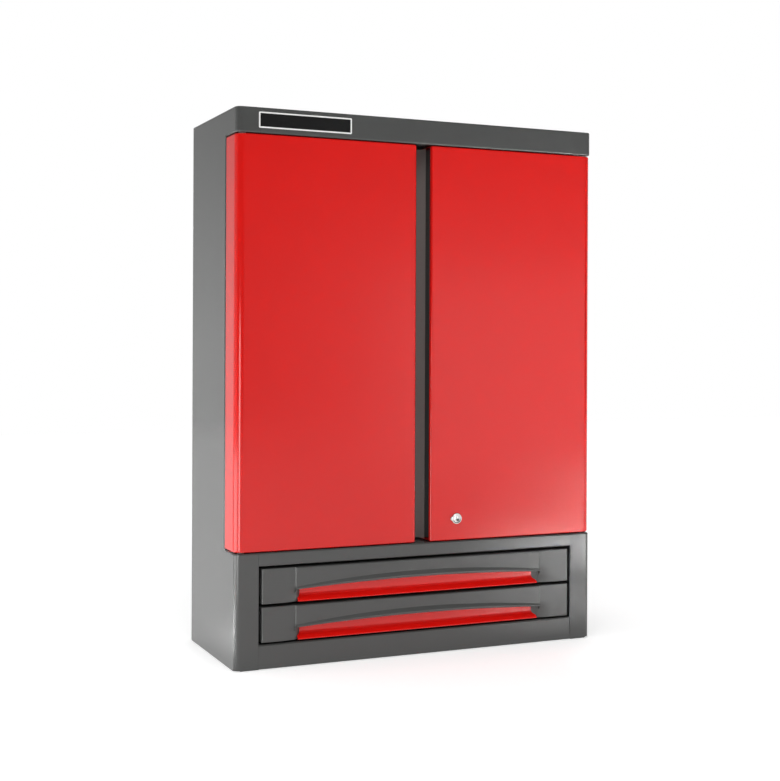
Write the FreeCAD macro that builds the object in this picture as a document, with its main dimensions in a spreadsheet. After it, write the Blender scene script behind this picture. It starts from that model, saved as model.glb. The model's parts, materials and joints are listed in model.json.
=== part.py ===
import FreeCAD, Part
import math
import os
from types import SimpleNamespace
import Sketcher

# Two-door wall tool cabinet with two low drawers, in millimetres.
# X runs across the front to the right, Y from front to back, Z up.
# The origin is the middle of the base; the doors and the fascia lie in the front plane.

SIZES = {
    # overall carcass
    "cabinet_width": 732.0,
    "cabinet_depth": 282.0,
    "cabinet_height": 1000.0,
    "gauge": 1.2,
    "sheet_fit": 0.2,
    "seam_gap": 0.3,
    "corner_radius": 15.0,
    "fold_radius": 3.0,
    "bend_radius": 2.4,
    "overrun": 2.0,
    # front frame
    "stile_width": 44.0,
    "base_rail_height": 43.5,
    "drawer_rail_height": 24.5,
    "drawer_opening_height": 139.5,
    "fascia_height": 46.0,
    "rail_lip": 12.0,
    "back_flange": 20.0,
    "back_lip": 15.0,
    "back_inset": 0.5,
    # doors
    "door_depth": 61.0,
    "door_edge_gap": 3.5,
    "door_spacing": 31.0,
    "door_back_gap": 5.0,
    "side_return": 18.0,
    "header_overhang": 18.0,
    "header_flange": 34.0,
    "grip_return": 7.0,
    "grip_inset": 18.0,
    "grip_floor_depth": 24.0,
    "grip_flat_depth": 50.0,
    "grip_bend_radius": 9.0,
    "liner_side_flange": 16.0,
    "liner_corner_notch": 0.9,
    # centre post
    "post_width": 71.0,
    "post_flange": 18.0,
    # hinge pins and bushes
    "pin_radius": 4.0,
    "pin_engagement": 12.0,
    "pin_running_gap": 0.05,
    "pin_nut_radius": 7.5,
    "pin_nut_height": 5.0,
    "bush_radius": 6.0,
    "bush_depth": 10.0,
    "washer_radius": 7.0,
    "washer_gap": 0.3,
    # door catches
    "strike_thickness": 1.0,
    "strike_width": 16.0,
    "strike_height": 46.0,
    "catch_gap": 0.4,
    "catch_end_margin": 60.0,
    # lock on the right-hand door
    "lock_inset": 55.0,
    "lock_height": 39.0,
    "rosette_radius": 11.0,
    "rosette_thickness": 2.2,
    "rosette_lobe_radius": 4.5,
    "rosette_lobe_reach": 9.5,
    "barrel_radius": 9.0,
    "barrel_length": 22.0,
    "plug_radius": 6.5,
    "plug_stand_out": 0.4,
    "plug_end_gap": 0.4,
    "keyway_width": 1.6,
    "keyway_height": 8.0,
    "keyway_depth": 5.0,
    "lock_nut_radius": 14.0,
    "lock_nut_thickness": 4.0,
    "cam_thickness": 3.0,
    "cam_reach": 52.0,
    "cam_hub_radius": 9.0,
    "cam_width": 14.0,
    "cam_stub_radius": 4.0,
    "cam_seat_gap": 0.1,
    "cam_screw_radius": 5.0,
    "cam_screw_height": 2.8,
    "cam_slot_clearance": 2.0,
    # shelves
    "shelf_gauge": 1.0,
    "shelf_front_gap": 8.0,
    "shelf_back_gap": 6.0,
    "shelf_side_gap": 0.8,
    "shelf_front_lip": 22.0,
    "shelf_back_lip": 15.0,
    "upright_thickness": 2.0,
    "upright_width": 20.0,
    "upright_front_margin": 16.0,
    "upright_back_margin": 30.0,
    "upright_end_gap": 12.0,
    "upright_slot_width": 10.0,
    "upright_slot_height": 4.0,
    "upright_slot_pitch": 25.0,
    "clip_reach": 11.0,
    "clip_width": 14.0,
    "clip_thickness": 3.0,
    # wall fixing
    "wall_bar_thickness": 2.5,
    "wall_bar_height": 40.0,
    "wall_bar_end_gap": 36.0,
    "wall_hole_radius": 4.25,
    "wall_hole_inset": 66.0,
    "upper_bar_drop": 80.0,
    "lower_bar_rise": 62.5,
    # name plate, left blank
    "plate_width": 178.0,
    "plate_height": 31.0,
    "plate_thickness": 0.8,
    "plate_rim": 1.5,
    "plate_rim_height": 0.3,
    "plate_side_inset": 41.0,
    "plate_rise": 7.0,
    # drawers
    "drawer_gap": 2.9,
    "drawer_side_gap": 4.0,
    "drawer_gauge": 1.0,
    "drawer_box_height": 48.0,
    "drawer_box_rise": 6.0,
    "drawer_rear_gap": 30.0,
    "front_depth": 24.0,
    "front_edge_radius": 2.0,
    "end_block_width": 65.0,
    "panel_step": 2.0,
    "panel_bevel": 1.5,
    "panel_low": 31.5,
    "panel_high": 60.5,
    # arched pull and its red insert
    "pocket_floor": 1.6,
    "pocket_depth": 21.0,
    "pocket_end_step": 8.0,
    "lip_low_end": 23.5,
    "lip_low_rise": 8.3,
    "lip_top_end": 28.5,
    "lip_top_rise": 14.7,
    "lip_root": 4.0,
    "lip_end_proud": 4.0,
    "lip_bow": 3.5,
    "lip_bevel": 1.6,
    "cheek_width": 34.0,
    "insert_gap": 0.2,
    "insert_nose": 1.4,
    "insert_back_height": 27.0,
    "insert_sag": 6.8,
    "insert_crest": 31.0,
    # drawer slides, three members a side
    "slide_space": 13.0,
    "slide_height": 35.0,
    "slide_gauge": 1.2,
    "slide_play": 0.4,
    "slide_rise": 28.0,
    "slide_outer_flange": 9.0,
    "slide_middle_offset": 4.6,
    "slide_middle_flange": 2.4,
    "slide_inner_flange": 5.4,
    "slide_front_gap": 2.0,
    "slide_middle_end_gap": 5.0,
    # small screws
    "screw_head_radius": 4.5,
    "screw_head_height": 2.2,
    "screw_spacing": 30.0,
    "screw_side_inset": 34.0,
    "screw_rise": 19.0,
}

HANDS = {"left": -1, "right": 1}
TOUCH = 1e-4
QUARTER_SAG = 1 - math.sqrt(0.5)


class Dim:
    """A length that carries its value and the sheet formula that gives it."""

    def __init__(self, value, formula):
        self.value = value
        self.formula = formula

    def __add__(self, other):
        return Dim(self.value + other.value, f"({self.formula} + {other.formula})")

    def __sub__(self, other):
        return Dim(self.value - other.value, f"({self.formula} - {other.formula})")

    def __mul__(self, factor):
        return Dim(self.value * factor, f"({self.formula} * {factor})")

    def __truediv__(self, divisor):
        return Dim(self.value / divisor, f"({self.formula} / {divisor})")

    def __neg__(self):
        return Dim(-self.value, f"(-1 * {self.formula})")


ZERO = Dim(0.0, "0")
S = SimpleNamespace(**{name: Dim(value, f"sizes.{name}") for name, value in SIZES.items()})

doc = FreeCAD.newDocument("tool_cabinet")
sheet = doc.addObject("Spreadsheet::Sheet", "sizes")
for row, (alias, length) in enumerate(SIZES.items(), start=1):
    sheet.set(f"A{row}", str(length))
    sheet.setAlias(f"A{row}", alias)
doc.recompute()

parts = []


# Drawing helpers


def bind(target, name, dim):
    """Bind one property to the sheet, or set it to zero."""
    if dim.formula == "0":
        return
    target.setExpression(name, dim.formula)


def rectangle(x0, x1, y0, y1):
    """Corner points of a rectangle."""
    return [(x0, y0), (x1, y0), (x1, y1), (x0, y1)]


def quarter(radius, turn):
    """Sag of a quarter circle; turn 1 bulges to the left of the way along the outline, -1 to the right."""
    return radius * (QUARTER_SAG * turn)


def arc_geometry(start, end, sag):
    """A circle arc from start to end that bulges by sag to the left of the way from start to end."""
    first = FreeCAD.Vector(start[0].value, start[1].value, 0)
    last = FreeCAD.Vector(end[0].value, end[1].value, 0)
    way = last - first
    radius = way.Length ** 2 / (8 * abs(sag.value)) + abs(sag.value) / 2
    left = FreeCAD.Vector(-way.y, way.x, 0).normalize()
    centre = (first + last) * 0.5 + left * (sag.value - math.copysign(radius, sag.value))
    turns_left = sag.value < 0
    from_point, to_point = (first, last) if turns_left else (last, first)
    a0 = math.atan2(from_point.y - centre.y, from_point.x - centre.x)
    a1 = math.atan2(to_point.y - centre.y, to_point.x - centre.x)
    if a1 <= a0:
        a1 += 2 * math.pi
    base = Part.Circle(centre, FreeCAD.Vector(0, 0, 1), radius)
    ends = (1, 2) if turns_left else (2, 1)
    return Part.ArcOfCircle(base, a0, a1), ends


def arc_radius(start, end, sag):
    """Radius of the arc over a chord with the given sag, as a bound length."""
    dx = end[0] - start[0]
    dy = end[1] - start[1]
    chord_squared = dx.value ** 2 + dy.value ** 2
    size = abs(sag.value)
    value = chord_squared / (8 * size) + size / 2
    text = f"(({dx.formula})^2 + ({dy.formula})^2)"
    return Dim(value, f"({text} / (8 * abs({sag.formula})) + abs({sag.formula}) / 2)")


def add_loop(sketch, loop):
    """Draw one closed outline. A point may carry a third value, the sag of the arc that follows it."""
    count = len(loop)
    first = sketch.GeometryCount
    ends = []
    for index, point in enumerate(loop):
        following = loop[(index + 1) % count]
        if len(point) == 3:
            curve, order = arc_geometry(point, following, point[2])
        else:
            curve = Part.LineSegment(FreeCAD.Vector(point[0].value, point[1].value, 0),
                                     FreeCAD.Vector(following[0].value, following[1].value, 0))
            order = (1, 2)
        sketch.addGeometry(curve)
        ends.append(order)
    for index in range(count):
        after = (index + 1) % count
        sketch.addConstraint(Sketcher.Constraint("Coincident", first + index, ends[index][1],
                                                 first + after, ends[after][0]))
    for index, point in enumerate(loop):
        for kind, dim in (("DistanceX", point[0]), ("DistanceY", point[1])):
            number = sketch.addConstraint(
                Sketcher.Constraint(kind, -1, 1, first + index, ends[index][0], dim.value))
            bind(sketch, f"Constraints[{number}]", dim)
        if len(point) == 3:
            radius = arc_radius(point, loop[(index + 1) % count], point[2])
            number = sketch.addConstraint(Sketcher.Constraint("Radius", first + index, radius.value))
            bind(sketch, f"Constraints[{number}]", radius)


def add_circle(sketch, x, y, radius):
    """Draw one circle whose centre and radius are bound to the sheet."""
    centre = FreeCAD.Vector(x.value, y.value, 0)
    index = sketch.addGeometry(Part.Circle(centre, FreeCAD.Vector(0, 0, 1), radius.value))
    for kind, dim in (("DistanceX", x), ("DistanceY", y)):
        number = sketch.addConstraint(Sketcher.Constraint(kind, -1, 1, index, 3, dim.value))
        bind(sketch, f"Constraints[{number}]", dim)
    number = sketch.addConstraint(Sketcher.Constraint("Radius", index, radius.value))
    bind(sketch, f"Constraints[{number}]", radius)


def new_body(label):
    """Start a PartDesign body."""
    body = doc.addObject("PartDesign::Body", label)
    body.Label = label
    return body


def new_sketch(body, axis, level, loops, circles):
    """Sketch square to an axis at a level. Y-level sketches are drawn in X and Z, X-level ones in Y and Z."""
    role = {"Z": "XY_Plane", "Y": "XZ_Plane", "X": "YZ_Plane"}[axis]
    plane = next(feature for feature in body.Origin.OriginFeatures if feature.Role == role)
    sketch = body.newObject("Sketcher::SketchObject", "sketch")
    sketch.AttachmentSupport = (plane, [""])
    sketch.MapMode = "FlatFace"
    bind(sketch, "AttachmentOffset.Base.z", -level if axis == "Y" else level)
    for loop in loops:
        add_loop(sketch, loop)
    for circle in circles:
        add_circle(sketch, *circle)
    return sketch


def pad(body, axis, low, high, loops=(), circles=()):
    """Add material between two levels along an axis."""
    level = high if axis == "Y" else low
    feature_sketch = new_sketch(body, axis, level, loops, circles)
    feature = body.newObject("PartDesign::Pad", "pad")
    feature.Profile = feature_sketch
    feature.setExpression("Length", (high - low).formula)
    doc.recompute()
    return feature


def pocket(body, axis, low, high, loops=(), circles=()):
    """Take material away between two levels along an axis."""
    before = body.Shape.Volume
    level = low if axis == "Y" else high
    feature_sketch = new_sketch(body, axis, level, loops, circles)
    feature = body.newObject("PartDesign::Pocket", "pocket")
    feature.Profile = feature_sketch
    feature.setExpression("Length", (high - low).formula)
    doc.recompute()
    if not body.Shape.Volume < before:
        raise RuntimeError(f"{body.Label}: a pocket cuts nothing")
    return feature


def edge_names(shape, **places):
    """Names of the edges whose ends all lie at the given coordinates, such as x and y for an upright edge."""
    names = []
    for number, edge in enumerate(shape.Edges, start=1):
        points = [vertex.Point for vertex in edge.Vertexes]
        if len(points) < 2:
            continue
        if all(abs(getattr(point, axis) - dim.value) < TOUCH
               for point in points for axis, dim in places.items()):
            names.append(f"Edge{number}")
    return names


def rim_edges(shape, level, front):
    """Names of the edges at one height that reach a plane facing the front."""
    names = []
    for name in edge_names(shape, z=level):
        if any(abs(vertex.Point.y - front.value) < TOUCH for vertex in shape.getElement(name).Vertexes):
            names.append(name)
    return names


def dress(body, kind, size_name, size, names):
    """Round or bevel named edges of the body's last feature."""
    if not names:
        raise RuntimeError(f"{body.Label}: no edge to dress")
    base = body.Tip
    feature = body.newObject(kind, "dressed")
    feature.Base = (base, names)
    feature.setExpression(size_name, size.formula)
    doc.recompute()
    if "Invalid" in feature.State:
        raise RuntimeError(f"{body.Label}: {size.formula} fails on {names}")
    return feature


def round_edges(body, radius, **places):
    """Fillet the straight edges at the given coordinates."""
    dress(body, "PartDesign::Fillet", "Radius", radius, edge_names(body.Shape, **places))


def place(feature, x, y, z):
    """Put a primitive at a point bound to the sheet."""
    for axis, dim in zip("xyz", (x, y, z)):
        bind(feature, f"Placement.Base.{axis}", dim)


def cylinder(name, axis, radius, x, y, low, high):
    """A round bar along Z or Y between two levels; the other two coordinates come first."""
    bar = doc.addObject("Part::Cylinder", name)
    bar.setExpression("Radius", radius.formula)
    bar.setExpression("Height", (high - low).formula)
    if axis == "Z":
        place(bar, x, y, low)
    else:
        bar.Placement.Rotation = FreeCAD.Rotation(FreeCAD.Vector(1, 0, 0), -90)
        place(bar, x, low, y)
    return bar


def hexagon(name, axis, radius, x, y, low, high):
    """A hexagonal nut blank along Z or Y, sized over its corners."""
    blank = doc.addObject("Part::Prism", name)
    blank.Polygon = 6
    blank.setExpression("Circumradius", radius.formula)
    blank.setExpression("Height", (high - low).formula)
    if axis == "Z":
        place(blank, x, y, low)
    else:
        blank.Placement.Rotation = FreeCAD.Rotation(FreeCAD.Vector(1, 0, 0), -90)
        place(blank, x, low, y)
    return blank


def block(name, x0, x1, y0, y1, z0, z1):
    """A rectangular bar between bound coordinates."""
    bar = doc.addObject("Part::Box", name)
    bar.setExpression("Length", (x1 - x0).formula)
    bar.setExpression("Width", (y1 - y0).formula)
    bar.setExpression("Height", (z1 - z0).formula)
    place(bar, x0, y0, z0)
    return bar


def fuse(name, first, second):
    """Join two primitives."""
    joined = doc.addObject("Part::Fuse", name)
    joined.Base = first
    joined.Tool = second
    return joined


def cut(name, base, tool):
    """Cut one primitive from another."""
    result = doc.addObject("Part::Cut", name)
    result.Base = base
    result.Tool = tool
    return result


def keep(feature, label):
    """List an object as a sub-part under its own label."""
    feature.Label = label
    parts.append(feature)
    return feature


def keep_group(label, members):
    """List several like solids as one sub-part."""
    group = doc.addObject("Part::Compound", label)
    group.Links = members
    return keep(group, label)


def ordered(a, b):
    """Two coordinates with the lower one first."""
    return (a, b) if a.value < b.value else (b, a)


# Places that several pieces share

HALF_WIDTH = S.cabinet_width / 2
FRONT = -S.cabinet_depth / 2
BACK = S.cabinet_depth / 2
INNER_HALF = HALF_WIDTH - S.gauge
PLATE_HALF = INNER_HALF - S.sheet_fit
STILE_INSIDE = FRONT + S.gauge + S.sheet_fit
PLATE_FRONT = FRONT + S.fold_radius + S.sheet_fit
PLATE_BACK = BACK - S.gauge * 2 - S.sheet_fit
PLATE_CORNER = S.corner_radius - S.gauge - S.sheet_fit
OPENING_HALF = HALF_WIDTH - S.stile_width
RAIL_HALF = OPENING_HALF - S.seam_gap
FOLD_INSIDE = S.fold_radius - S.gauge
BEND_INSIDE = S.bend_radius - S.gauge

OPENING_TOP = S.base_rail_height + S.drawer_opening_height
DECK_TOP = OPENING_TOP + S.drawer_rail_height
DECK_UNDER = DECK_TOP - S.gauge
FASCIA_BOTTOM = S.cabinet_height - S.fascia_height
HEADER_UNDER = FASCIA_BOTTOM + S.gauge + S.sheet_fit
HEADER_TOP = HEADER_UNDER + S.gauge

DOOR_BOTTOM = DECK_TOP + S.door_edge_gap
DOOR_TOP = FASCIA_BOTTOM - S.door_edge_gap
DOOR_WIDTH = (S.cabinet_width - S.door_spacing) / 2
DOOR_BACK = FRONT + S.door_depth
SIDE_FRONT = DOOR_BACK + S.door_back_gap
HEADER_BACK = SIDE_FRONT + S.header_overhang
PIVOT_Y = FRONT + S.corner_radius
PIVOT_X = HALF_WIDTH - S.corner_radius

FRONT_HEIGHT = (S.drawer_opening_height - S.drawer_gap * 3) / 2
FRONT_HALF = OPENING_HALF - S.drawer_side_gap
BOX_HALF = OPENING_HALF - S.slide_space
BOX_FRONT = FRONT + S.front_depth
BOX_BACK = PLATE_BACK - S.drawer_rear_gap
DRAWERS = {
    "lower": S.base_rail_height + S.drawer_gap,
    "upper": S.base_rail_height + S.drawer_gap * 2 + FRONT_HEIGHT,
}

LOCK_X = S.door_spacing / 2 + S.lock_inset
LOCK_Z = DOOR_BOTTOM + S.lock_height
BARREL_END = FRONT + S.barrel_length
PLUG_END = BARREL_END + S.plug_end_gap
CAM_FRONT = PLUG_END + S.cam_seat_gap
CAM_BACK = CAM_FRONT + S.cam_thickness
CAM_SLOT = rectangle(LOCK_X - S.cam_hub_radius, LOCK_X + S.cam_reach - S.cam_width / 2,
                     CAM_FRONT - S.cam_slot_clearance, CAM_BACK + S.cam_slot_clearance)


# Carcass


def side_panel(side):
    """Folded side: front stile, rounded corner, side wall and back lip, cut back beside the door."""
    hand = HANDS[side]
    wall_back = BACK - S.gauge

    def x_at(inset):
        return (HALF_WIDTH - inset) * hand

    body = new_body(f"{side}_side_panel")
    outside = quarter(S.corner_radius, -hand)
    inside = quarter(S.corner_radius - S.gauge, hand)
    outline = [(x_at(S.stile_width), FRONT), (x_at(S.corner_radius), FRONT, outside),
               (x_at(ZERO), FRONT + S.corner_radius), (x_at(ZERO), wall_back),
               (x_at(S.back_lip), wall_back), (x_at(S.back_lip), wall_back - S.gauge),
               (x_at(S.gauge), wall_back - S.gauge), (x_at(S.gauge), FRONT + S.corner_radius, inside),
               (x_at(S.corner_radius), FRONT + S.gauge), (x_at(S.stile_width), FRONT + S.gauge)]
    pad(body, "Z", ZERO, S.cabinet_height, [outline])
    round_edges(body, S.bend_radius, x=x_at(ZERO), y=wall_back)
    round_edges(body, BEND_INSIDE, x=x_at(S.gauge), y=wall_back - S.gauge)
    beside_door = rectangle(*ordered(x_at(S.stile_width + S.overrun), x_at(-S.overrun)),
                            FRONT - S.overrun, SIDE_FRONT + S.bend_radius)
    pocket(body, "Z", DECK_TOP, FASCIA_BOTTOM, [beside_door])
    edge_return = [(x_at(ZERO), SIDE_FRONT + S.bend_radius, quarter(S.bend_radius, hand)),
                   (x_at(S.bend_radius), SIDE_FRONT), (x_at(S.side_return), SIDE_FRONT),
                   (x_at(S.side_return), SIDE_FRONT + S.gauge),
                   (x_at(S.bend_radius), SIDE_FRONT + S.gauge, quarter(BEND_INSIDE, -hand)),
                   (x_at(S.gauge), SIDE_FRONT + S.bend_radius)]
    pad(body, "Z", DECK_TOP, FASCIA_BOTTOM, [edge_return])
    return keep(body, body.Label)


def folded_pan(label, plate_low, rail_low, rail_high, lip_low, flange_low, flange_high):
    """Horizontal plate between the sides whose front edge folds into a rail with an inward lip."""
    body = new_body(label)
    back_edge = [(PLATE_HALF, PLATE_BACK - S.gauge), (PLATE_HALF - S.gauge, PLATE_BACK),
                 (S.gauge - PLATE_HALF, PLATE_BACK), (-PLATE_HALF, PLATE_BACK - S.gauge)]
    plan = [(-PLATE_HALF, PLATE_FRONT), (-RAIL_HALF, PLATE_FRONT), (-RAIL_HALF, FRONT), (RAIL_HALF, FRONT),
            (RAIL_HALF, PLATE_FRONT), (PLATE_HALF, PLATE_FRONT), *back_edge]
    pad(body, "Z", plate_low, plate_low + S.gauge, [plan])
    pad(body, "Z", rail_low, rail_high, [rectangle(-RAIL_HALF, RAIL_HALF, FRONT, FRONT + S.gauge)])
    pad(body, "Z", lip_low, lip_low + S.gauge, [rectangle(-RAIL_HALF, RAIL_HALF, FRONT, FRONT + S.rail_lip)])
    pad(body, "Z", flange_low, flange_high, [back_edge])
    for x in (-PLATE_HALF, PLATE_HALF):
        round_edges(body, PLATE_CORNER, x=x, y=PLATE_FRONT)
    plate_is_low = plate_low.value < lip_low.value
    plate_inside = plate_low + S.gauge if plate_is_low else plate_low
    lip_inside = lip_low if plate_is_low else lip_low + S.gauge
    outer_levels = (rail_low, rail_high)
    for level in (plate_inside, lip_inside):
        round_edges(body, FOLD_INSIDE, y=FRONT + S.gauge, z=level)
    for level in outer_levels:
        round_edges(body, S.fold_radius, y=FRONT, z=level)
    return keep(body, label)


def top_panel():
    """Top with the fascia above the doors."""
    plate = S.cabinet_height - S.gauge
    return folded_pan("top_panel", plate, FASCIA_BOTTOM, S.cabinet_height, FASCIA_BOTTOM,
                      S.cabinet_height - S.back_flange, S.cabinet_height)


def mid_deck():
    """Floor of the door compartment with the rail above the drawers, pin holes and the cam slot."""
    body = folded_pan("mid_deck", DECK_UNDER, OPENING_TOP, DECK_TOP, OPENING_TOP,
                      DECK_TOP - S.back_flange, DECK_TOP)
    pocket(body, "Z", DECK_UNDER - S.overrun, DECK_TOP + S.overrun, [CAM_SLOT],
           [(PIVOT_X * hand, PIVOT_Y, S.pin_radius + S.pin_running_gap) for hand in HANDS.values()])
    return body


def base_panel():
    """Bottom with the rail below the drawers."""
    return folded_pan("base_panel", ZERO, ZERO, S.base_rail_height, S.base_rail_height - S.gauge,
                      ZERO, S.back_flange)


def header_channel():
    """Channel behind the fascia that closes the compartment top and carries the upper hinge pins."""
    body = new_body("header_channel")
    pad(body, "Z", HEADER_UNDER, HEADER_TOP,
        [rectangle(-PLATE_HALF, PLATE_HALF, PLATE_FRONT, HEADER_BACK)])
    for x in (-PLATE_HALF, PLATE_HALF):
        round_edges(body, PLATE_CORNER, x=x, y=PLATE_FRONT)
    pad(body, "Z", HEADER_UNDER, HEADER_UNDER + S.header_flange,
        [rectangle(-PLATE_HALF, PLATE_HALF, HEADER_BACK - S.gauge, HEADER_BACK)])
    round_edges(body, BEND_INSIDE, y=HEADER_BACK - S.gauge, z=HEADER_TOP)
    round_edges(body, S.bend_radius, y=HEADER_BACK, z=HEADER_UNDER)
    pocket(body, "Z", HEADER_UNDER - S.overrun, HEADER_TOP + S.overrun, [],
           [(PIVOT_X * hand, PIVOT_Y, S.pin_radius + S.pin_running_gap) for hand in HANDS.values()])
    return keep(body, "header_channel")


def wall_hole_centres():
    """Places of the four wall screw holes, as X and Z."""
    upper = FASCIA_BOTTOM - S.upper_bar_drop + S.wall_bar_height / 2
    lower = DECK_TOP + S.lower_bar_rise
    return [((HALF_WIDTH - S.wall_hole_inset) * hand, level)
            for hand in HANDS.values() for level in (lower, upper)]


def back_panel():
    """Flat back over the side lips, with the wall screw holes."""
    body = new_body("back_panel")
    half = HALF_WIDTH - S.back_inset
    holes = [(x, z, S.wall_hole_radius) for x, z in wall_hole_centres()]
    pad(body, "Y", BACK - S.gauge, BACK,
        [rectangle(-half, half, S.back_inset, S.cabinet_height - S.back_inset)], holes)
    return keep(body, "back_panel")


def wall_bars():
    """Two flat bars inside the back that spread the load of the wall screws."""
    bars = []
    half = HALF_WIDTH - S.wall_bar_end_gap
    levels = sorted({z.value: z for _, z in wall_hole_centres()}.items())
    for number, (_, level) in enumerate(levels, start=1):
        body = new_body(f"wall_bar_{number}")
        holes = [((HALF_WIDTH - S.wall_hole_inset) * hand, level, S.wall_hole_radius)
                 for hand in HANDS.values()]
        pad(body, "Y", BACK - S.gauge - S.wall_bar_thickness, BACK - S.gauge,
            [rectangle(-half, half, level - S.wall_bar_height / 2, level + S.wall_bar_height / 2)], holes)
        bars.append(body)
    return keep_group("wall_bars", bars)


def centre_post():
    """Upright channel behind the gap between the doors."""
    body = new_body("centre_post")
    half = S.post_width / 2
    back = SIDE_FRONT + S.post_flange
    plan = [(-half, SIDE_FRONT), (half, SIDE_FRONT), (half, back), (half - S.gauge, back),
            (half - S.gauge, SIDE_FRONT + S.gauge), (S.gauge - half, SIDE_FRONT + S.gauge),
            (S.gauge - half, back), (-half, back)]
    pad(body, "Z", DECK_TOP + S.sheet_fit, HEADER_UNDER - S.sheet_fit, [plan])
    for hand in HANDS.values():
        round_edges(body, BEND_INSIDE, x=(half - S.gauge) * hand, y=SIDE_FRONT + S.gauge)
        round_edges(body, S.bend_radius, x=half * hand, y=SIDE_FRONT)
    return keep(body, "centre_post")


def runner_wall(side):
    """Upright channel beside the drawers that carries the slides."""
    hand = HANDS[side]
    body = new_body(f"{side}_runner_wall")
    near = OPENING_HALF * hand
    far = (OPENING_HALF + S.gauge) * hand
    flange = (OPENING_HALF + S.stile_width / 2) * hand
    wall_back = PLATE_BACK - S.gauge - S.sheet_fit
    plan = [(flange, STILE_INSIDE), (near, STILE_INSIDE), (near, wall_back), (flange, wall_back),
            (flange, wall_back - S.gauge), (far, wall_back - S.gauge), (far, STILE_INSIDE + S.gauge),
            (flange, STILE_INSIDE + S.gauge)]
    pad(body, "Z", S.gauge + S.sheet_fit, DECK_UNDER - S.sheet_fit, [plan])
    round_edges(body, BEND_INSIDE, x=far, y=STILE_INSIDE + S.gauge)
    round_edges(body, BEND_INSIDE, x=far, y=wall_back - S.gauge)
    round_edges(body, S.bend_radius, x=near, y=STILE_INSIDE)
    round_edges(body, S.bend_radius, x=near, y=wall_back)
    return keep(body, body.Label)


# Shelves

COMPARTMENT_HEIGHT = FASCIA_BOTTOM - DECK_TOP
SHELF_LEVELS = {"lower": DECK_TOP + COMPARTMENT_HEIGHT / 3, "upper": DECK_TOP + COMPARTMENT_HEIGHT * 2 / 3}
SHELF_HALF = INNER_HALF - S.upright_thickness - S.shelf_side_gap
SHELF_FRONT = HEADER_BACK + S.shelf_front_gap
SHELF_BACK = PLATE_BACK - S.shelf_back_gap
UPRIGHT_LOW = DECK_TOP + S.upright_end_gap
UPRIGHT_HIGH = FASCIA_BOTTOM - S.upright_end_gap
UPRIGHT_FRONTS = (SHELF_FRONT + S.upright_front_margin, SHELF_BACK - S.upright_back_margin - S.upright_width)


def shelf(level_name):
    """Loose steel shelf with front and back lips."""
    level = SHELF_LEVELS[level_name]
    body = new_body(f"{level_name}_shelf")
    profile = [(SHELF_FRONT, level), (SHELF_BACK, level), (SHELF_BACK, level - S.shelf_back_lip),
               (SHELF_BACK - S.shelf_gauge, level - S.shelf_back_lip),
               (SHELF_BACK - S.shelf_gauge, level - S.shelf_gauge),
               (SHELF_FRONT + S.shelf_gauge, level - S.shelf_gauge),
               (SHELF_FRONT + S.shelf_gauge, level - S.shelf_front_lip),
               (SHELF_FRONT, level - S.shelf_front_lip)]
    pad(body, "X", -SHELF_HALF, SHELF_HALF, [profile])
    round_edges(body, S.bend_radius, y=SHELF_FRONT, z=level)
    round_edges(body, S.bend_radius, y=SHELF_BACK, z=level)
    return keep(body, body.Label)


def shelf_uprights():
    """Four slotted strips on the side walls, with a row of slots each."""
    strips = []
    slot_margin = S.upright_slot_pitch
    span = (UPRIGHT_HIGH - UPRIGHT_LOW - slot_margin * 2).value
    count = int(span // S.upright_slot_pitch.value) + 1
    for side, hand in HANDS.items():
        for number, strip_front in enumerate(UPRIGHT_FRONTS, start=1):
            body = new_body(f"{side}_upright_{number}")
            low_x, high_x = ordered((INNER_HALF - S.upright_thickness) * hand, INNER_HALF * hand)
            pad(body, "X", low_x, high_x,
                [rectangle(strip_front, strip_front + S.upright_width, UPRIGHT_LOW, UPRIGHT_HIGH)])
            slot_front = strip_front + (S.upright_width - S.upright_slot_width) / 2
            slot_low = UPRIGHT_LOW + slot_margin
            slot = pocket(body, "X", low_x - S.overrun, high_x + S.overrun,
                          [rectangle(slot_front, slot_front + S.upright_slot_width, slot_low,
                                     slot_low + S.upright_slot_height)])
            pattern = body.newObject("PartDesign::LinearPattern", "slots")
            pattern.Originals = [slot]
            z_axis = next(axis for axis in body.Origin.OriginFeatures if axis.Role == "Z_Axis")
            pattern.Direction = (z_axis, [""])
            pattern.setExpression("Length", (S.upright_slot_pitch * (count - 1)).formula)
            pattern.Occurrences = count
            body.Tip = pattern
            doc.recompute()
            strips.append(body)
    return keep_group("shelf_uprights", strips)


def shelf_clips():
    """Eight clips under the shelf ends, hooked to the uprights."""
    clips = []
    for level_name, level in SHELF_LEVELS.items():
        under = level - S.shelf_gauge
        for side, hand in HANDS.items():
            root = (INNER_HALF - S.upright_thickness) * hand
            tip = (INNER_HALF - S.upright_thickness - S.clip_reach) * hand
            low_x, high_x = ordered(tip, root)
            for number, strip_front in enumerate(UPRIGHT_FRONTS, start=1):
                start = strip_front + (S.upright_width - S.clip_width) / 2
                clips.append(block(f"{level_name}_{side}_clip_{number}", low_x, high_x, start,
                                   start + S.clip_width, under - S.clip_thickness, under))
    return keep_group("shelf_clips", clips)


# Hinges


def hinge_pins():
    """Two pins down from the header and two up from the deck, on the doors' turning axes."""
    pins = []
    for side, hand in HANDS.items():
        x = PIVOT_X * hand
        pins.append(cylinder(f"{side}_upper_pin", "Z", S.pin_radius, x, PIVOT_Y,
                             DOOR_TOP - S.pin_engagement, HEADER_TOP + S.pin_nut_height))
        pins.append(cylinder(f"{side}_lower_pin", "Z", S.pin_radius, x, PIVOT_Y,
                             DECK_UNDER - S.pin_nut_height, DOOR_BOTTOM + S.pin_engagement))
    return keep_group("hinge_pins", pins)


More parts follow.
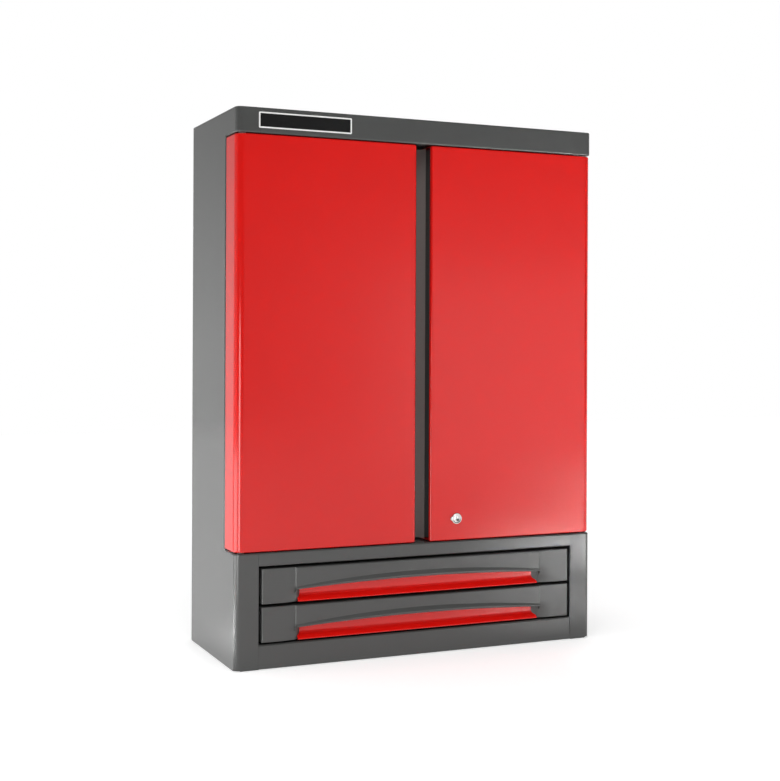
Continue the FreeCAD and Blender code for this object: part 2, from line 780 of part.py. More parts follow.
def hinge_nuts():
    """Nuts that hold the hinge pins to the header and the deck."""
    nuts = []
    for side, hand in HANDS.items():
        x = PIVOT_X * hand
        levels = {"upper": HEADER_TOP, "lower": DECK_UNDER - S.pin_nut_height}
        for name, low in levels.items():
            top = low + S.pin_nut_height
            blank = hexagon(f"{side}_{name}_nut_blank", "Z", S.pin_nut_radius, x, PIVOT_Y, low, top)
            bore = cylinder(f"{side}_{name}_nut_bore", "Z", S.pin_radius + S.pin_running_gap, x, PIVOT_Y,
                            low - S.overrun, top + S.overrun)
            nuts.append(cut(f"{side}_{name}_nut", blank, bore))
    return keep_group("hinge_nuts", nuts)


def door_bushes(side):
    """White nylon bushes in the door's top and bottom edges, whose collars show in the gaps."""
    x = PIVOT_X * HANDS[side]
    bore_radius = S.pin_radius + S.pin_running_gap
    spans = {
        "upper": (DOOR_TOP - S.bush_depth, DOOR_TOP, DOOR_TOP, FASCIA_BOTTOM - S.washer_gap),
        "lower": (DOOR_BOTTOM, DOOR_BOTTOM + S.bush_depth, DECK_TOP + S.washer_gap, DOOR_BOTTOM),
    }
    bushes = []
    for name, (sleeve_low, sleeve_high, collar_low, collar_high) in spans.items():
        sleeve = cylinder(f"{side}_{name}_sleeve", "Z", S.bush_radius, x, PIVOT_Y, sleeve_low, sleeve_high)
        collar = cylinder(f"{side}_{name}_collar", "Z", S.washer_radius, x, PIVOT_Y, collar_low, collar_high)
        joined = fuse(f"{side}_{name}_bush_blank", sleeve, collar)
        bore = cylinder(f"{side}_{name}_bush_bore", "Z", bore_radius, x, PIVOT_Y,
                        sleeve_low - S.overrun - S.door_edge_gap, sleeve_high + S.overrun + S.door_edge_gap)
        bushes.append(cut(f"{side}_{name}_bush", joined, bore))
    return keep_group(f"{side}_door_bushes", bushes)


# Doors


def door_frame(side):
    """Function that turns an inset from the door's outer side into X."""
    hand = HANDS[side]

    def x_at(inset):
        return (HALF_WIDTH - inset) * hand

    return x_at


def door_skin(side):
    """Red outer skin: front, rounded outer side, top and bottom edges and a narrow return at the free side."""
    x_at = door_frame(side)
    body = new_body(f"{side}_door_skin")
    outer, free = x_at(ZERO), x_at(DOOR_WIDTH)
    pad(body, "Z", DOOR_BOTTOM, DOOR_TOP, [rectangle(*ordered(outer, free), FRONT, DOOR_BACK)])
    round_edges(body, S.corner_radius, x=outer, y=FRONT)
    round_edges(body, S.fold_radius, x=free, y=FRONT)
    for level in (DOOR_BOTTOM, DOOR_TOP):
        dress(body, "PartDesign::Fillet", "Radius", S.fold_radius, rim_edges(body.Shape, level, FRONT))
    fold_arc = quarter(FOLD_INSIDE, HANDS[side])
    fold_inset = DOOR_WIDTH - S.gauge
    hollow = [(x_at(S.gauge), FRONT + S.corner_radius, quarter(S.corner_radius - S.gauge, HANDS[side])),
              (x_at(S.corner_radius), FRONT + S.gauge),
              (x_at(fold_inset - FOLD_INSIDE), FRONT + S.gauge, fold_arc),
              (x_at(fold_inset), FRONT + S.gauge + FOLD_INSIDE), (x_at(fold_inset), FRONT + S.grip_return),
              (x_at(DOOR_WIDTH + S.overrun), FRONT + S.grip_return),
              (x_at(DOOR_WIDTH + S.overrun), DOOR_BACK + S.overrun), (x_at(S.gauge), DOOR_BACK + S.overrun)]
    inner_levels = (DOOR_BOTTOM + S.gauge, DOOR_TOP - S.gauge)
    pocket(body, "Z", *inner_levels, [hollow])
    for level in inner_levels:
        dress(body, "PartDesign::Fillet", "Radius", FOLD_INSIDE,
              rim_edges(body.Shape, level, FRONT + S.gauge))
    pivot = [(x_at(S.corner_radius), PIVOT_Y, S.bush_radius)]
    pocket(body, "Z", DOOR_BOTTOM - S.overrun, DOOR_BOTTOM + S.gauge + S.overrun, [], pivot)
    pocket(body, "Z", DOOR_TOP - S.gauge - S.overrun, DOOR_TOP + S.overrun, [], pivot)
    if side == "right":
        pocket(body, "Y", FRONT - S.overrun, FRONT + S.gauge + S.overrun, [],
               [(LOCK_X, LOCK_Z, S.barrel_radius)])
        pocket(body, "Z", DOOR_BOTTOM - S.overrun, DOOR_BOTTOM + S.gauge + S.overrun, [CAM_SLOT])
    return keep(body, body.Label)


def door_liner(side):
    """Dark inner tray: back of the door, with a scooped finger grip along the free side."""
    x_at = door_frame(side)
    body = new_body(f"{side}_door_liner")

    def grip(inset, depth):
        return x_at(DOOR_WIDTH - inset), FRONT + depth

    start = S.grip_return + S.sheet_fit
    hinge_inset = S.gauge + S.sheet_fit
    side_front = S.door_depth - S.liner_side_flange
    inner_back = S.door_depth - S.gauge
    shift = S.gauge / 2
    outline = [grip(ZERO, start + S.gauge), grip(S.grip_inset, start + S.gauge),
               grip(S.grip_inset, S.grip_floor_depth), grip(ZERO, S.grip_flat_depth),
               grip(ZERO, S.door_depth),
               (x_at(hinge_inset), DOOR_BACK), (x_at(hinge_inset), FRONT + side_front),
               (x_at(hinge_inset + S.gauge), FRONT + side_front),
               (x_at(hinge_inset + S.gauge), FRONT + inner_back), grip(S.gauge, inner_back),
               grip(S.gauge, S.grip_flat_depth + shift),
               grip(S.grip_inset + S.gauge, S.grip_floor_depth + shift),
               grip(S.grip_inset + S.gauge, start), grip(ZERO, start)]
    ends = (DOOR_BOTTOM + S.gauge + S.sheet_fit, DOOR_TOP - S.gauge - S.sheet_fit)
    pad(body, "Z", *ends, [outline])
    floor = grip(S.grip_inset, S.grip_floor_depth)
    flat = grip(ZERO, S.grip_flat_depth)
    floor_inside = grip(S.grip_inset + S.gauge, S.grip_floor_depth + shift)
    flat_inside = grip(S.gauge, S.grip_flat_depth + shift)
    round_edges(body, S.grip_bend_radius, x=floor[0], y=floor[1])
    round_edges(body, S.grip_bend_radius + S.gauge, x=floor_inside[0], y=floor_inside[1])
    round_edges(body, S.grip_bend_radius, x=flat[0], y=flat[1])
    round_edges(body, S.grip_bend_radius - S.gauge, x=flat_inside[0], y=flat_inside[1])
    round_edges(body, S.bend_radius, x=x_at(DOOR_WIDTH), y=DOOR_BACK)
    round_edges(body, S.bend_radius, x=x_at(hinge_inset), y=DOOR_BACK)
    low_x, high_x = ordered(x_at(hinge_inset - S.overrun), x_at(hinge_inset + S.liner_corner_notch))
    corners = [rectangle(low_x, high_x, ends[0] - S.overrun, ends[0] + S.liner_corner_notch),
               rectangle(low_x, high_x, ends[1] - S.liner_corner_notch, ends[1] + S.overrun)]
    pocket(body, "Y", FRONT + side_front - S.overrun, DOOR_BACK + S.overrun, corners)
    return keep(body, body.Label)


def catch_levels():
    """Lower edges of the two catches of a door."""
    return (DOOR_BOTTOM + S.catch_end_margin, DOOR_TOP - S.catch_end_margin - S.strike_height)


def strike_plates(side):
    """Steel plates on the back of the door that the catch magnets pull."""
    hand = HANDS[side]
    near = S.door_spacing / 2 + S.bend_radius
    low_x, high_x = ordered(near * hand, (near + S.strike_width) * hand)
    plates = [block(f"{side}_strike_{number}", low_x, high_x, DOOR_BACK, DOOR_BACK + S.strike_thickness,
                    level, level + S.strike_height) for number, level in enumerate(catch_levels(), start=1)]
    return keep_group(f"{side}_strike_plates", plates)


def catch_magnets():
    """Four flat magnets on the centre post, one behind each strike plate."""
    magnets = []
    near = S.door_spacing / 2 + S.bend_radius
    face = DOOR_BACK + S.strike_thickness + S.catch_gap
    for side, hand in HANDS.items():
        low_x, high_x = ordered(near * hand, (near + S.strike_width) * hand)
        for number, level in enumerate(catch_levels(), start=1):
            magnets.append(block(f"{side}_magnet_{number}", low_x, high_x, face, SIDE_FRONT,
                                 level, level + S.strike_height))
    return keep_group("catch_magnets", magnets)


# Lock


def lock_housing():
    """Rosette with a small lobe, and the threaded barrel behind it."""
    body = new_body("lock_housing")
    face = FRONT - S.rosette_thickness
    pad(body, "Y", face, FRONT, [], [(LOCK_X, LOCK_Z, S.rosette_radius)])
    lobe_x = LOCK_X - S.rosette_lobe_reach
    pad(body, "Y", face, FRONT, [], [(lobe_x, LOCK_Z, S.rosette_lobe_radius)])
    pad(body, "Y", FRONT, BARREL_END, [], [(LOCK_X, LOCK_Z, S.barrel_radius)])
    pocket(body, "Y", face - S.overrun, BARREL_END + S.overrun, [],
           [(LOCK_X, LOCK_Z, S.plug_radius + S.pin_running_gap)])
    return keep(body, "lock_housing")


def lock_nut():
    """Nut that clamps the barrel to the inside of the door skin."""
    low = FRONT + S.gauge
    high = low + S.lock_nut_thickness
    blank = hexagon("lock_nut_blank", "Y", S.lock_nut_radius, LOCK_X, LOCK_Z, low, high)
    bore = cylinder("lock_nut_bore", "Y", S.barrel_radius + S.pin_running_gap, LOCK_X, LOCK_Z,
                    low - S.overrun, high + S.overrun)
    return keep(cut("lock_nut", blank, bore), "lock_nut")


def lock_plug():
    """Turning plug with an upright keyway and a stub for the cam."""
    body = new_body("lock_plug")
    face = FRONT - S.rosette_thickness - S.plug_stand_out
    pad(body, "Y", face, PLUG_END, [], [(LOCK_X, LOCK_Z, S.plug_radius)])
    pad(body, "Y", PLUG_END, CAM_BACK, [], [(LOCK_X, LOCK_Z, S.cam_stub_radius)])
    half_width = S.keyway_width / 2
    half_height = S.keyway_height / 2
    pocket(body, "Y", face, face + S.keyway_depth,
           [rectangle(LOCK_X - half_width, LOCK_X + half_width, LOCK_Z - half_height, LOCK_Z + half_height)])
    return keep(body, "lock_plug")


def lock_cam():
    """Flat cam on the plug's stub; it lies level when open and points down through the deck when locked."""
    body = new_body("lock_cam")
    half = S.cam_width / 2
    tip = LOCK_X + S.cam_reach - half
    pad(body, "Y", CAM_FRONT, CAM_BACK, [], [(LOCK_X, LOCK_Z, S.cam_hub_radius)])
    pad(body, "Y", CAM_FRONT, CAM_BACK, [rectangle(LOCK_X, tip, LOCK_Z - half, LOCK_Z + half)])
    pad(body, "Y", CAM_FRONT, CAM_BACK, [], [(tip, LOCK_Z, half)])
    pocket(body, "Y", CAM_FRONT - S.overrun, CAM_BACK + S.overrun, [],
           [(LOCK_X, LOCK_Z, S.cam_stub_radius + S.pin_running_gap)])
    return keep(body, "lock_cam")


def cam_screw():
    """Screw head that holds the cam on the stub."""
    head = cylinder("cam_screw_head", "Y", S.cam_screw_radius, LOCK_X, LOCK_Z, CAM_BACK,
                    CAM_BACK + S.cam_screw_height)
    return keep(head, "cam_screw")


# Drawers


def drawer_box(name, low):
    """Open folded tray behind the drawer front."""
    body = new_body(f"{name}_drawer_box")
    floor = low + S.drawer_box_rise
    rim = floor + S.drawer_box_height
    pad(body, "Z", floor, rim, [rectangle(-BOX_HALF, BOX_HALF, BOX_FRONT, BOX_BACK)])
    pocket(body, "Z", floor + S.drawer_gauge, rim + S.overrun,
           [rectangle(S.drawer_gauge - BOX_HALF, BOX_HALF - S.drawer_gauge, BOX_FRONT + S.drawer_gauge,
                      BOX_BACK - S.drawer_gauge)])
    for x in (-BOX_HALF, BOX_HALF):
        round_edges(body, S.drawer_gauge, x=x, z=floor)
    return keep(body, body.Label)


def drawer_front(name, low):
    """Moulded front with a raised middle panel, an arched lip over the finger pocket and flared cheeks."""
    body = new_body(f"{name}_drawer_front")
    high = low + FRONT_HEIGHT
    back = FRONT + S.front_depth
    panel_half = FRONT_HALF - S.end_block_width
    pocket_half = panel_half - S.pocket_end_step
    panel_face = FRONT - S.panel_step
    pad(body, "Y", FRONT, back, [rectangle(-FRONT_HALF, FRONT_HALF, low, high)])
    rim = edge_names(body.Shape, y=FRONT)
    dress(body, "PartDesign::Fillet", "Radius", S.front_edge_radius, rim)
    pad(body, "Y", panel_face, FRONT + S.panel_step,
        [rectangle(-panel_half, panel_half, low + S.panel_low, low + S.panel_high)])
    dress(body, "PartDesign::Chamfer", "Size", S.panel_bevel, edge_names(body.Shape, y=panel_face))
    end_face = FRONT - S.lip_end_proud
    lip_face = end_face - S.lip_bow
    lip_end = low + S.lip_top_end
    for hand in HANDS.values():
        cheek = [(pocket_half * hand, lip_face), (pocket_half * hand, FRONT + S.lip_root),
                 ((pocket_half + S.cheek_width) * hand, FRONT + S.lip_root),
                 ((pocket_half + S.cheek_width) * hand, FRONT), (panel_half * hand, end_face),
                 (panel_half * hand, lip_face)]
        pad(body, "Z", low + S.front_edge_radius, lip_end, [cheek])
    pocket_low = low + S.pocket_floor
    pocket_end = low + S.lip_low_end
    finger_pocket = [(-pocket_half, pocket_low), (pocket_half, pocket_low),
                     (pocket_half, pocket_end, -S.lip_low_rise), (-pocket_half, pocket_end)]
    pocket(body, "Y", lip_face - S.overrun, FRONT + S.pocket_depth, [finger_pocket])
    lip = [(-pocket_half, pocket_end, S.lip_low_rise), (pocket_half, pocket_end), (panel_half, lip_end,
           -S.lip_top_rise), (-panel_half, lip_end)]
    pad(body, "Y", lip_face, FRONT + S.lip_root, [lip])
    far = panel_half + S.overrun
    front_limit = lip_face - S.overrun
    bow = [(-panel_half, end_face, -S.lip_bow), (panel_half, end_face), (far, end_face), (far, front_limit),
           (-far, front_limit), (-far, end_face)]
    pocket(body, "Z", low, high, [bow])
    top_edge = [name for name in edge_names(body.Shape, z=lip_end)
                if body.Shape.getElement(name).BoundBox.XLength > pocket_half.value
                and body.Shape.getElement(name).BoundBox.YMax < panel_face.value]
    dress(body, "PartDesign::Chamfer", "Size", S.lip_bevel, top_edge)
    return keep(body, body.Label)


def grip_insert(name, low):
    """Red insert in the finger pocket: a scoop that rises towards the back, cut to the arch above it."""
    body = new_body(f"{name}_grip_insert")
    pocket_half = FRONT_HALF - S.end_block_width - S.pocket_end_step
    half = pocket_half - S.insert_gap
    back = FRONT + S.pocket_depth - S.insert_gap
    floor = low + S.pocket_floor + S.insert_gap
    profile = [(FRONT + S.insert_gap, floor), (FRONT + S.insert_gap, floor + S.insert_nose, -S.insert_sag),
               (back - S.insert_nose, low + S.insert_back_height), (back - S.insert_nose, low + S.insert_crest),
               (back, low + S.insert_crest), (back, floor)]
    pad(body, "X", -half, half, [profile])
    arch_end = low + S.lip_low_end - S.insert_gap
    clear_top = low + S.insert_crest + S.overrun
    above_arch = [(-pocket_half, arch_end, S.lip_low_rise), (pocket_half, arch_end), (pocket_half, clear_top),
                  (-pocket_half, clear_top)]
    pocket(body, "Y", FRONT, back + S.overrun, [above_arch])
    return keep(body, body.Label)


def drawer_screws(name, low):
    """Four screws through the box into the moulded front."""
    screws = []
    for side, hand in HANDS.items():
        for number in range(2):
            x = (BOX_HALF - S.screw_side_inset - S.screw_spacing * number) * hand
            z = low + S.drawer_box_rise + S.screw_rise
            inside = BOX_FRONT + S.drawer_gauge
            head = cylinder(f"{name}_{side}_head_{number}", "Y", S.screw_head_radius, x, z, inside,
                            inside + S.screw_head_height)
            screws.append(head)
    return keep_group(f"{name}_drawer_screws", screws)


# Slides


def slide_member(label, side, low_y, high_y, centre, web_near, web_far, flange_tip, half_height):
    """One channel of a slide: an upright web with a flange at its top and bottom."""
    hand = HANDS[side]
    body = new_body(label)

    def x_at(offset):
        return (OPENING_HALF - offset) * hand

    top = centre + half_height
    bottom = centre - half_height
    inner_top = top - S.slide_gauge
    inner_bottom = bottom + S.slide_gauge
    profile = [(x_at(web_near), bottom), (x_at(web_near), top), (x_at(flange_tip), top),
               (x_at(flange_tip), inner_top), (x_at(web_far), inner_top), (x_at(web_far), inner_bottom),
               (x_at(flange_tip), inner_bottom), (x_at(flange_tip), bottom)]
    pad(body, "Y", low_y, high_y, [profile])
    return body


def slides(name, low):
    """Fixed, middle and drawer members of the two slides of one drawer."""
    centre = low + S.slide_rise
    fixed_front = BOX_FRONT + S.slide_front_gap
    outer_half = S.slide_height / 2
    middle_half = outer_half - S.slide_gauge - S.slide_play
    inner_half = middle_half - S.slide_gauge - S.slide_play
    middle_web = S.slide_middle_offset
    middle_tip = S.slide_space - S.slide_gauge - S.slide_middle_flange
    inner_web = S.slide_space
    inner_tip = S.slide_space - S.slide_gauge - S.slide_inner_flange
    members = {"fixed_rails": [], "middle_rails": [], "drawer_rails": []}
    for side in HANDS:
        members["fixed_rails"].append(slide_member(
            f"{name}_{side}_fixed", side, fixed_front, BOX_BACK, centre,
            ZERO, S.slide_gauge, S.slide_outer_flange, outer_half))
        members["middle_rails"].append(slide_member(
            f"{name}_{side}_middle", side, fixed_front + S.slide_middle_end_gap,
            BOX_BACK - S.slide_middle_end_gap, centre,
            middle_web, middle_web + S.slide_gauge, middle_tip, middle_half))
        members["drawer_rails"].append(slide_member(
            f"{name}_{side}_drawer", side, fixed_front, BOX_BACK, centre,
            inner_web, inner_web - S.slide_gauge, inner_tip, inner_half))
    for kind, bodies in members.items():
        keep_group(f"{name}_{kind}", bodies)


def name_plate():
    """Blank plate on the fascia, with a raised rim."""
    body = new_body("name_plate")
    left = S.plate_side_inset - HALF_WIDTH
    right = left + S.plate_width
    low = FASCIA_BOTTOM + S.plate_rise
    high = low + S.plate_height
    face = FRONT - S.plate_thickness
    pad(body, "Y", face, FRONT, [rectangle(left, right, low, high)])
    pocket(body, "Y", face, face + S.plate_rim_height,
           [rectangle(left + S.plate_rim, right - S.plate_rim, low + S.plate_rim, high - S.plate_rim)])
    return keep(body, "name_plate")


def build():
    """Make every sub-part of the cabinet."""
    for side in HANDS:
        side_panel(side)
        runner_wall(side)
        door_skin(side)
        door_liner(side)
        door_bushes(side)
        strike_plates(side)
    top_panel()
    header_channel()
    mid_deck()
    base_panel()
    back_panel()
    wall_bars()
    centre_post()
    for level_name in SHELF_LEVELS:
        shelf(level_name)
    shelf_uprights()
    shelf_clips()
    hinge_pins()
    hinge_nuts()
    catch_magnets()
    lock_housing()
    lock_nut()
    lock_plug()
    lock_cam()
    cam_screw()
    name_plate()
    for name, low in DRAWERS.items():
        drawer_box(name, low)
        drawer_front(name, low)
        grip_insert(name, low)
        drawer_screws(name, low)
        slides(name, low)


def check():
    """Stop if any object failed or any sub-part is empty or not valid."""
    doc.recompute()
    for item in doc.Objects:
        if "Invalid" in item.State or "Error" in item.State:
            raise RuntimeError(f"{item.Label} failed: {item.State}")
    for item in parts:
        if item.Shape.isNull() or not item.Shape.isValid() or not item.Shape.Solids:
            raise RuntimeError(f"{item.Label} has no valid solid")


def export():
    """Write one STEP file for each sub-part."""
    os.makedirs("parts", exist_ok=True)
    for item in parts:
        item.Shape.exportStep(os.path.join("parts", f"{item.Label}.step"))


build()
check()
export()
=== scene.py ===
"""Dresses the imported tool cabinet: folded sheet, moulded drawer fronts, lock, slides and studio."""

from __future__ import annotations

import json
import logging
import math
from collections.abc import Callable, Sequence
from dataclasses import dataclass, field
from enum import Enum

import bmesh
import bpy
from mathutils import Matrix, Vector

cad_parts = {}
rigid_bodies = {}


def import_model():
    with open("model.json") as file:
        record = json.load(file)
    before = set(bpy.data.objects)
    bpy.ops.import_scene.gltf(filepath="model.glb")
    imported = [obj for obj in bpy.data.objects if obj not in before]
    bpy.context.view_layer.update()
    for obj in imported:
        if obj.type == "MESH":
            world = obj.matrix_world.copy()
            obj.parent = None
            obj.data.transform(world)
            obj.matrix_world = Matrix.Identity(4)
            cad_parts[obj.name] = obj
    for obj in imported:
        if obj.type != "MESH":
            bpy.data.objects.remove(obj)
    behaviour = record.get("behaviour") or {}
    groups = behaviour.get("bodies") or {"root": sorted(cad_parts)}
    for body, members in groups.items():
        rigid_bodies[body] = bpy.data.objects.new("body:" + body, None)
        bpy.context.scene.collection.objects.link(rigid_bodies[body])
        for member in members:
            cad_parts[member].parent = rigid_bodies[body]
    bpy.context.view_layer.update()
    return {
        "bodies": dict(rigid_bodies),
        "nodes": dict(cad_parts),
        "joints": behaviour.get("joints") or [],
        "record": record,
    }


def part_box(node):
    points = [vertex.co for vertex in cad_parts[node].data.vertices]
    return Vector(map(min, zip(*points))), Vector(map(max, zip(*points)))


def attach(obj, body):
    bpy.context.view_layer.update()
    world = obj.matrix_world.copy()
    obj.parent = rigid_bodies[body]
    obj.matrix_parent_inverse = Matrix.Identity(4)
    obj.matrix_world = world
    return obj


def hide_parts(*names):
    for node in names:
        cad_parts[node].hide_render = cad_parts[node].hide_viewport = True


LOG = logging.getLogger("cabinet")
MM = 0.001
MERGE = 0.001 * MM  # points closer than this are one
QUARTER_STEPS = 6
FOLD_ANGLE = 32.0  # sharp edges of folded sheet start here, in degrees
EASED_ANGLE = 50.0  # and here on turned pieces and on those with eased edges
AREA_WEIGHT = 100  # large faces rule the shading next to small bevels
ROUND = 0.3  # where the middle point of a three-point round lies, as a share of its radius


class Side(Enum):
    """The two sides of the cabinet, with the sign of X on each."""

    LEFT = -1
    RIGHT = 1

    @property
    def word(self) -> str:
        """Name used in node names."""
        return self.name.lower()


class Body(Enum):
    """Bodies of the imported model."""

    CARCASS = "carcass"
    LEFT_DOOR = "left_door"
    RIGHT_DOOR = "right_door"
    LOCK = "lock"
    UPPER_SLIDES = "upper_slides"
    LOWER_SLIDES = "lower_slides"
    UPPER_DRAWER = "upper_drawer"
    LOWER_DRAWER = "lower_drawer"


class Slot(Enum):
    """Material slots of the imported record."""

    CARCASS = "carcass_paint"
    ZINC = "zinc_steel"
    DOOR = "door_paint"
    DRAWER = "drawer_paint"
    MOULDING = "drawer_moulding"
    GRIP = "grip_red"
    NYLON = "nylon"
    MAGNET = "magnet"
    PLATE = "plate_black"
    CHROME = "lock_chrome"


def linear(colour: str) -> tuple[float, float, float, float]:
    """Turn an sRGB hex colour into linear red, green, blue and alpha.

    Args:
        colour: Colour such as "#c8342c".

    Returns:
        Four linear values.
    """
    shares = [int(colour[i : i + 2], 16) / 255 for i in (1, 3, 5)]
    values = [s / 12.92 if s <= 0.04045 else ((s + 0.055) / 1.055) ** 2.4 for s in shares]
    return values[0], values[1], values[2], 1.0


def add_node(
    tree: bpy.types.NodeTree,
    kind: str,
    values: dict[str | int, object] | None = None,
    links: dict[str | int, bpy.types.Node | bpy.types.NodeSocket] | None = None,
    **settings: object,
) -> bpy.types.Node:
    """Add one node with its settings, input values and incoming links.

    Args:
        tree: Node tree that gets the node.
        kind: Blender's node type.
        values: Input name or index to value.
        links: Input name or index to the output that feeds it, or to a node for its first output.
        **settings: Properties of the node.

    Returns:
        The new node.
    """
    node = tree.nodes.new(kind)
    for name, value in settings.items():
        setattr(node, name, value)
    for key, value in (values or {}).items():
        node.inputs[key].default_value = value
    for key, source in (links or {}).items():
        output = source.outputs[0] if isinstance(source, bpy.types.Node) else source
        tree.links.new(output, node.inputs[key])
    return node


@dataclass(frozen=True)
class Finish:
    """What every finish shares: a name, two close colours and the shader's main values."""

    name: str
    colour: str
    shade: str
    roughness: float
    metallic: float = 0.0
    ior: float = 1.5
    coat: float = 0.0
    coat_roughness: float = 0.1
    patch_mm: float = 90.0
    patch_detail: float = 3.0
    grain_mm: float = 1.6
    grain_detail: float = 2.0
    grain_roughness: float = 0.55
    relief_share: float = 0.25
    bump: float = 0.1
    stretch: tuple[float, float, float] = (1.0, 1.0, 1.0)
    roughness_swing: float = 0.04

    def material(self) -> bpy.types.Material:
        """Build the node material.

        Returns:
            The material.
        """
        material = bpy.data.materials.new(self.name)
        material.use_nodes = True
        tree = material.node_tree
        tree.nodes.clear()
        coords = add_node(tree, "ShaderNodeTexCoord")
        patches = add_node(
            tree,
            "ShaderNodeTexNoise",
            {"Scale": 1 / (self.patch_mm * MM), "Detail": self.patch_detail},
            {"Vector": coords.outputs["Object"]},
        )
        tone = add_node(
            tree,
            "ShaderNodeMix",
            {6: linear(self.colour), 7: linear(self.shade)},
            {"Factor": patches},
            data_type="RGBA",
        )
        fitted = add_node(
            tree, "ShaderNodeMapping", {"Scale": self.stretch}, {"Vector": coords.outputs["Object"]}
        )
        grain = add_node(
            tree,
            "ShaderNodeTexNoise",
            {
                "Scale": 1 / (self.grain_mm * MM),
                "Detail": self.grain_detail,
                "Roughness": self.grain_roughness,
            },
            {"Vector": fitted},
        )
        gloss = add_node(
            tree,
            "ShaderNodeMapRange",
            {
                "To Min": self.roughness - self.roughness_swing,
                "To Max": self.roughness + self.roughness_swing,
            },
            {"Value": grain},
        )
        relief = add_node(
            tree,
            "ShaderNodeBump",
            {"Strength": self.bump, "Distance": self.grain_mm * MM * self.relief_share},
            {"Height": grain},
        )
        surface = add_node(
            tree,
            "ShaderNodeBsdfPrincipled",
            {
                "Metallic": self.metallic,
                "IOR": self.ior,
                "Coat Weight": self.coat,
                "Coat Roughness": self.coat_roughness,
            },
            {"Base Color": tone.outputs[2], "Roughness": gloss, "Normal": relief},
        )
        add_node(tree, "ShaderNodeOutputMaterial", links={"Surface": surface})
        return material


@dataclass(frozen=True)
class PowderCoat(Finish):
    """Polyester powder coat baked on steel: semi-gloss, with a fine orange-peel skin.

    The real peel is about 1 mm across; it is drawn a little coarser so that it shows.
    """

    roughness: float = 0.17
    grain_mm: float = 2.2
    bump: float = 0.025
    roughness_swing: float = 0.03


@dataclass(frozen=True)
class MouldedAbs(Finish):
    """Injection-moulded ABS with a fine spark-eroded grain, about 0.5 mm and drawn at 0.9 mm."""

    roughness: float = 0.36
    grain_mm: float = 0.9
    bump: float = 0.1
    ior: float = 1.53


@dataclass(frozen=True)
class PlatedSteel(Finish):
    """Rolled steel with bright zinc: faint drawn lines along the sheet and a soft metal shine."""

    roughness: float = 0.34
    metallic: float = 1.0
    grain_mm: float = 1.2
    bump: float = 0.06
    stretch: tuple[float, float, float] = (1.0, 0.06, 1.0)
    roughness_swing: float = 0.08


@dataclass(frozen=True)
class PolishedChrome(Finish):
    """Chrome over polished brass: bright and smooth, with a trace of hairlines from wiping."""

    roughness: float = 0.16
    metallic: float = 1.0
    grain_mm: float = 0.8
    bump: float = 0.01
    stretch: tuple[float, float, float] = (1.0, 1.0, 0.1)
    roughness_swing: float = 0.03


@dataclass(frozen=True)
class Paintbox:
    """Every finish of the cabinet by slot."""

    finishes: dict[Slot, Finish] = field(
        default_factory=lambda: {
            # Sheet carcass and liners: an even dark grey under a soft, clear sheen.
            Slot.CARCASS: PowderCoat("grey_powder_coat", "#4a4b4a", "#4e4f4e"),
            # Doors: a deep red that pales where the floor and the walls mirror in it.
            Slot.DOOR: PowderCoat("red_powder_coat", "#da120c", "#d6110b"),
            # Drawer boxes: the same grey, sprayed thinner, so duller.
            Slot.DRAWER: PowderCoat("drawer_powder_coat", "#444544", "#484948", roughness=0.34),
            # Drawer fronts: moulded grey whose grain spreads each highlight.
            Slot.MOULDING: MouldedAbs("grey_moulded_abs", "#4b4c4b", "#4f504f", roughness=0.3),
            # Grip inserts: polished tool, so glossier and brighter than the fronts.
            Slot.GRIP: MouldedAbs(
                "red_moulded_abs", "#f7160f", "#f3140d", roughness=0.16, bump=0.03
            ),
            # Pivot bushes: matt natural nylon, a small white collar in each gap.
            Slot.NYLON: MouldedAbs("white_nylon", "#eae9e6", "#e5e4e1", roughness=0.45),
            # Slides, shelf strips, screws and nuts: cool grey metal with drawn lines.
            Slot.ZINC: PlatedSteel("zinc_plated_steel", "#b9bcbf", "#aeb1b5"),
            # Catch magnets: pressed black ferrite, nearly without shine.
            Slot.MAGNET: MouldedAbs("black_ferrite", "#1d1d1e", "#232324", roughness=0.55),
            # Name plate: smooth black that mirrors a little.
            Slot.PLATE: MouldedAbs(
                "black_name_plate", "#121212", "#161616", roughness=0.22, bump=0.03
            ),
            # Lock: bright chrome that picks up the white room.
            Slot.CHROME: PolishedChrome("polished_chrome", "#c9c7c5", "#c3c1bf"),
        }
    )

    def mix(self) -> dict[Slot, bpy.types.Material]:
        """Build every material once.

        Returns:
            Slot to material.
        """
        return {slot: finish.material() for slot, finish in self.finishes.items()}


def make_piece(
    name: str, vertices: Sequence[Sequence[float]], faces: Sequence[Sequence[int]]
) -> bpy.types.Object:
    """Make a mesh object at the origin.

    Args:
        name: Piece name.
        vertices: Points in millimetres.
        faces: Index loops.

    Returns:
        The linked object.
    """
    mesh = bpy.data.meshes.new(name)
    mesh.from_pydata([[c * MM for c in v] for v in vertices], [], faces)
    piece = bpy.data.objects.new(name, mesh)
    bpy.context.scene.collection.objects.link(piece)
    return piece


def tidy_shell(piece: bpy.types.Object) -> None:
    """Merge doubles and point the faces of a closed piece outwards.

    Args:
        piece: The closed piece, changed in place.
    """
    shell = bmesh.new()
    shell.from_mesh(piece.data)
    bmesh.ops.remove_doubles(shell, verts=shell.verts, dist=MERGE)
    bmesh.ops.dissolve_degenerate(shell, edges=shell.edges, dist=MERGE)
    bmesh.ops.recalc_face_normals(shell, faces=shell.faces)
    shell.to_mesh(piece.data)
    shell.free()


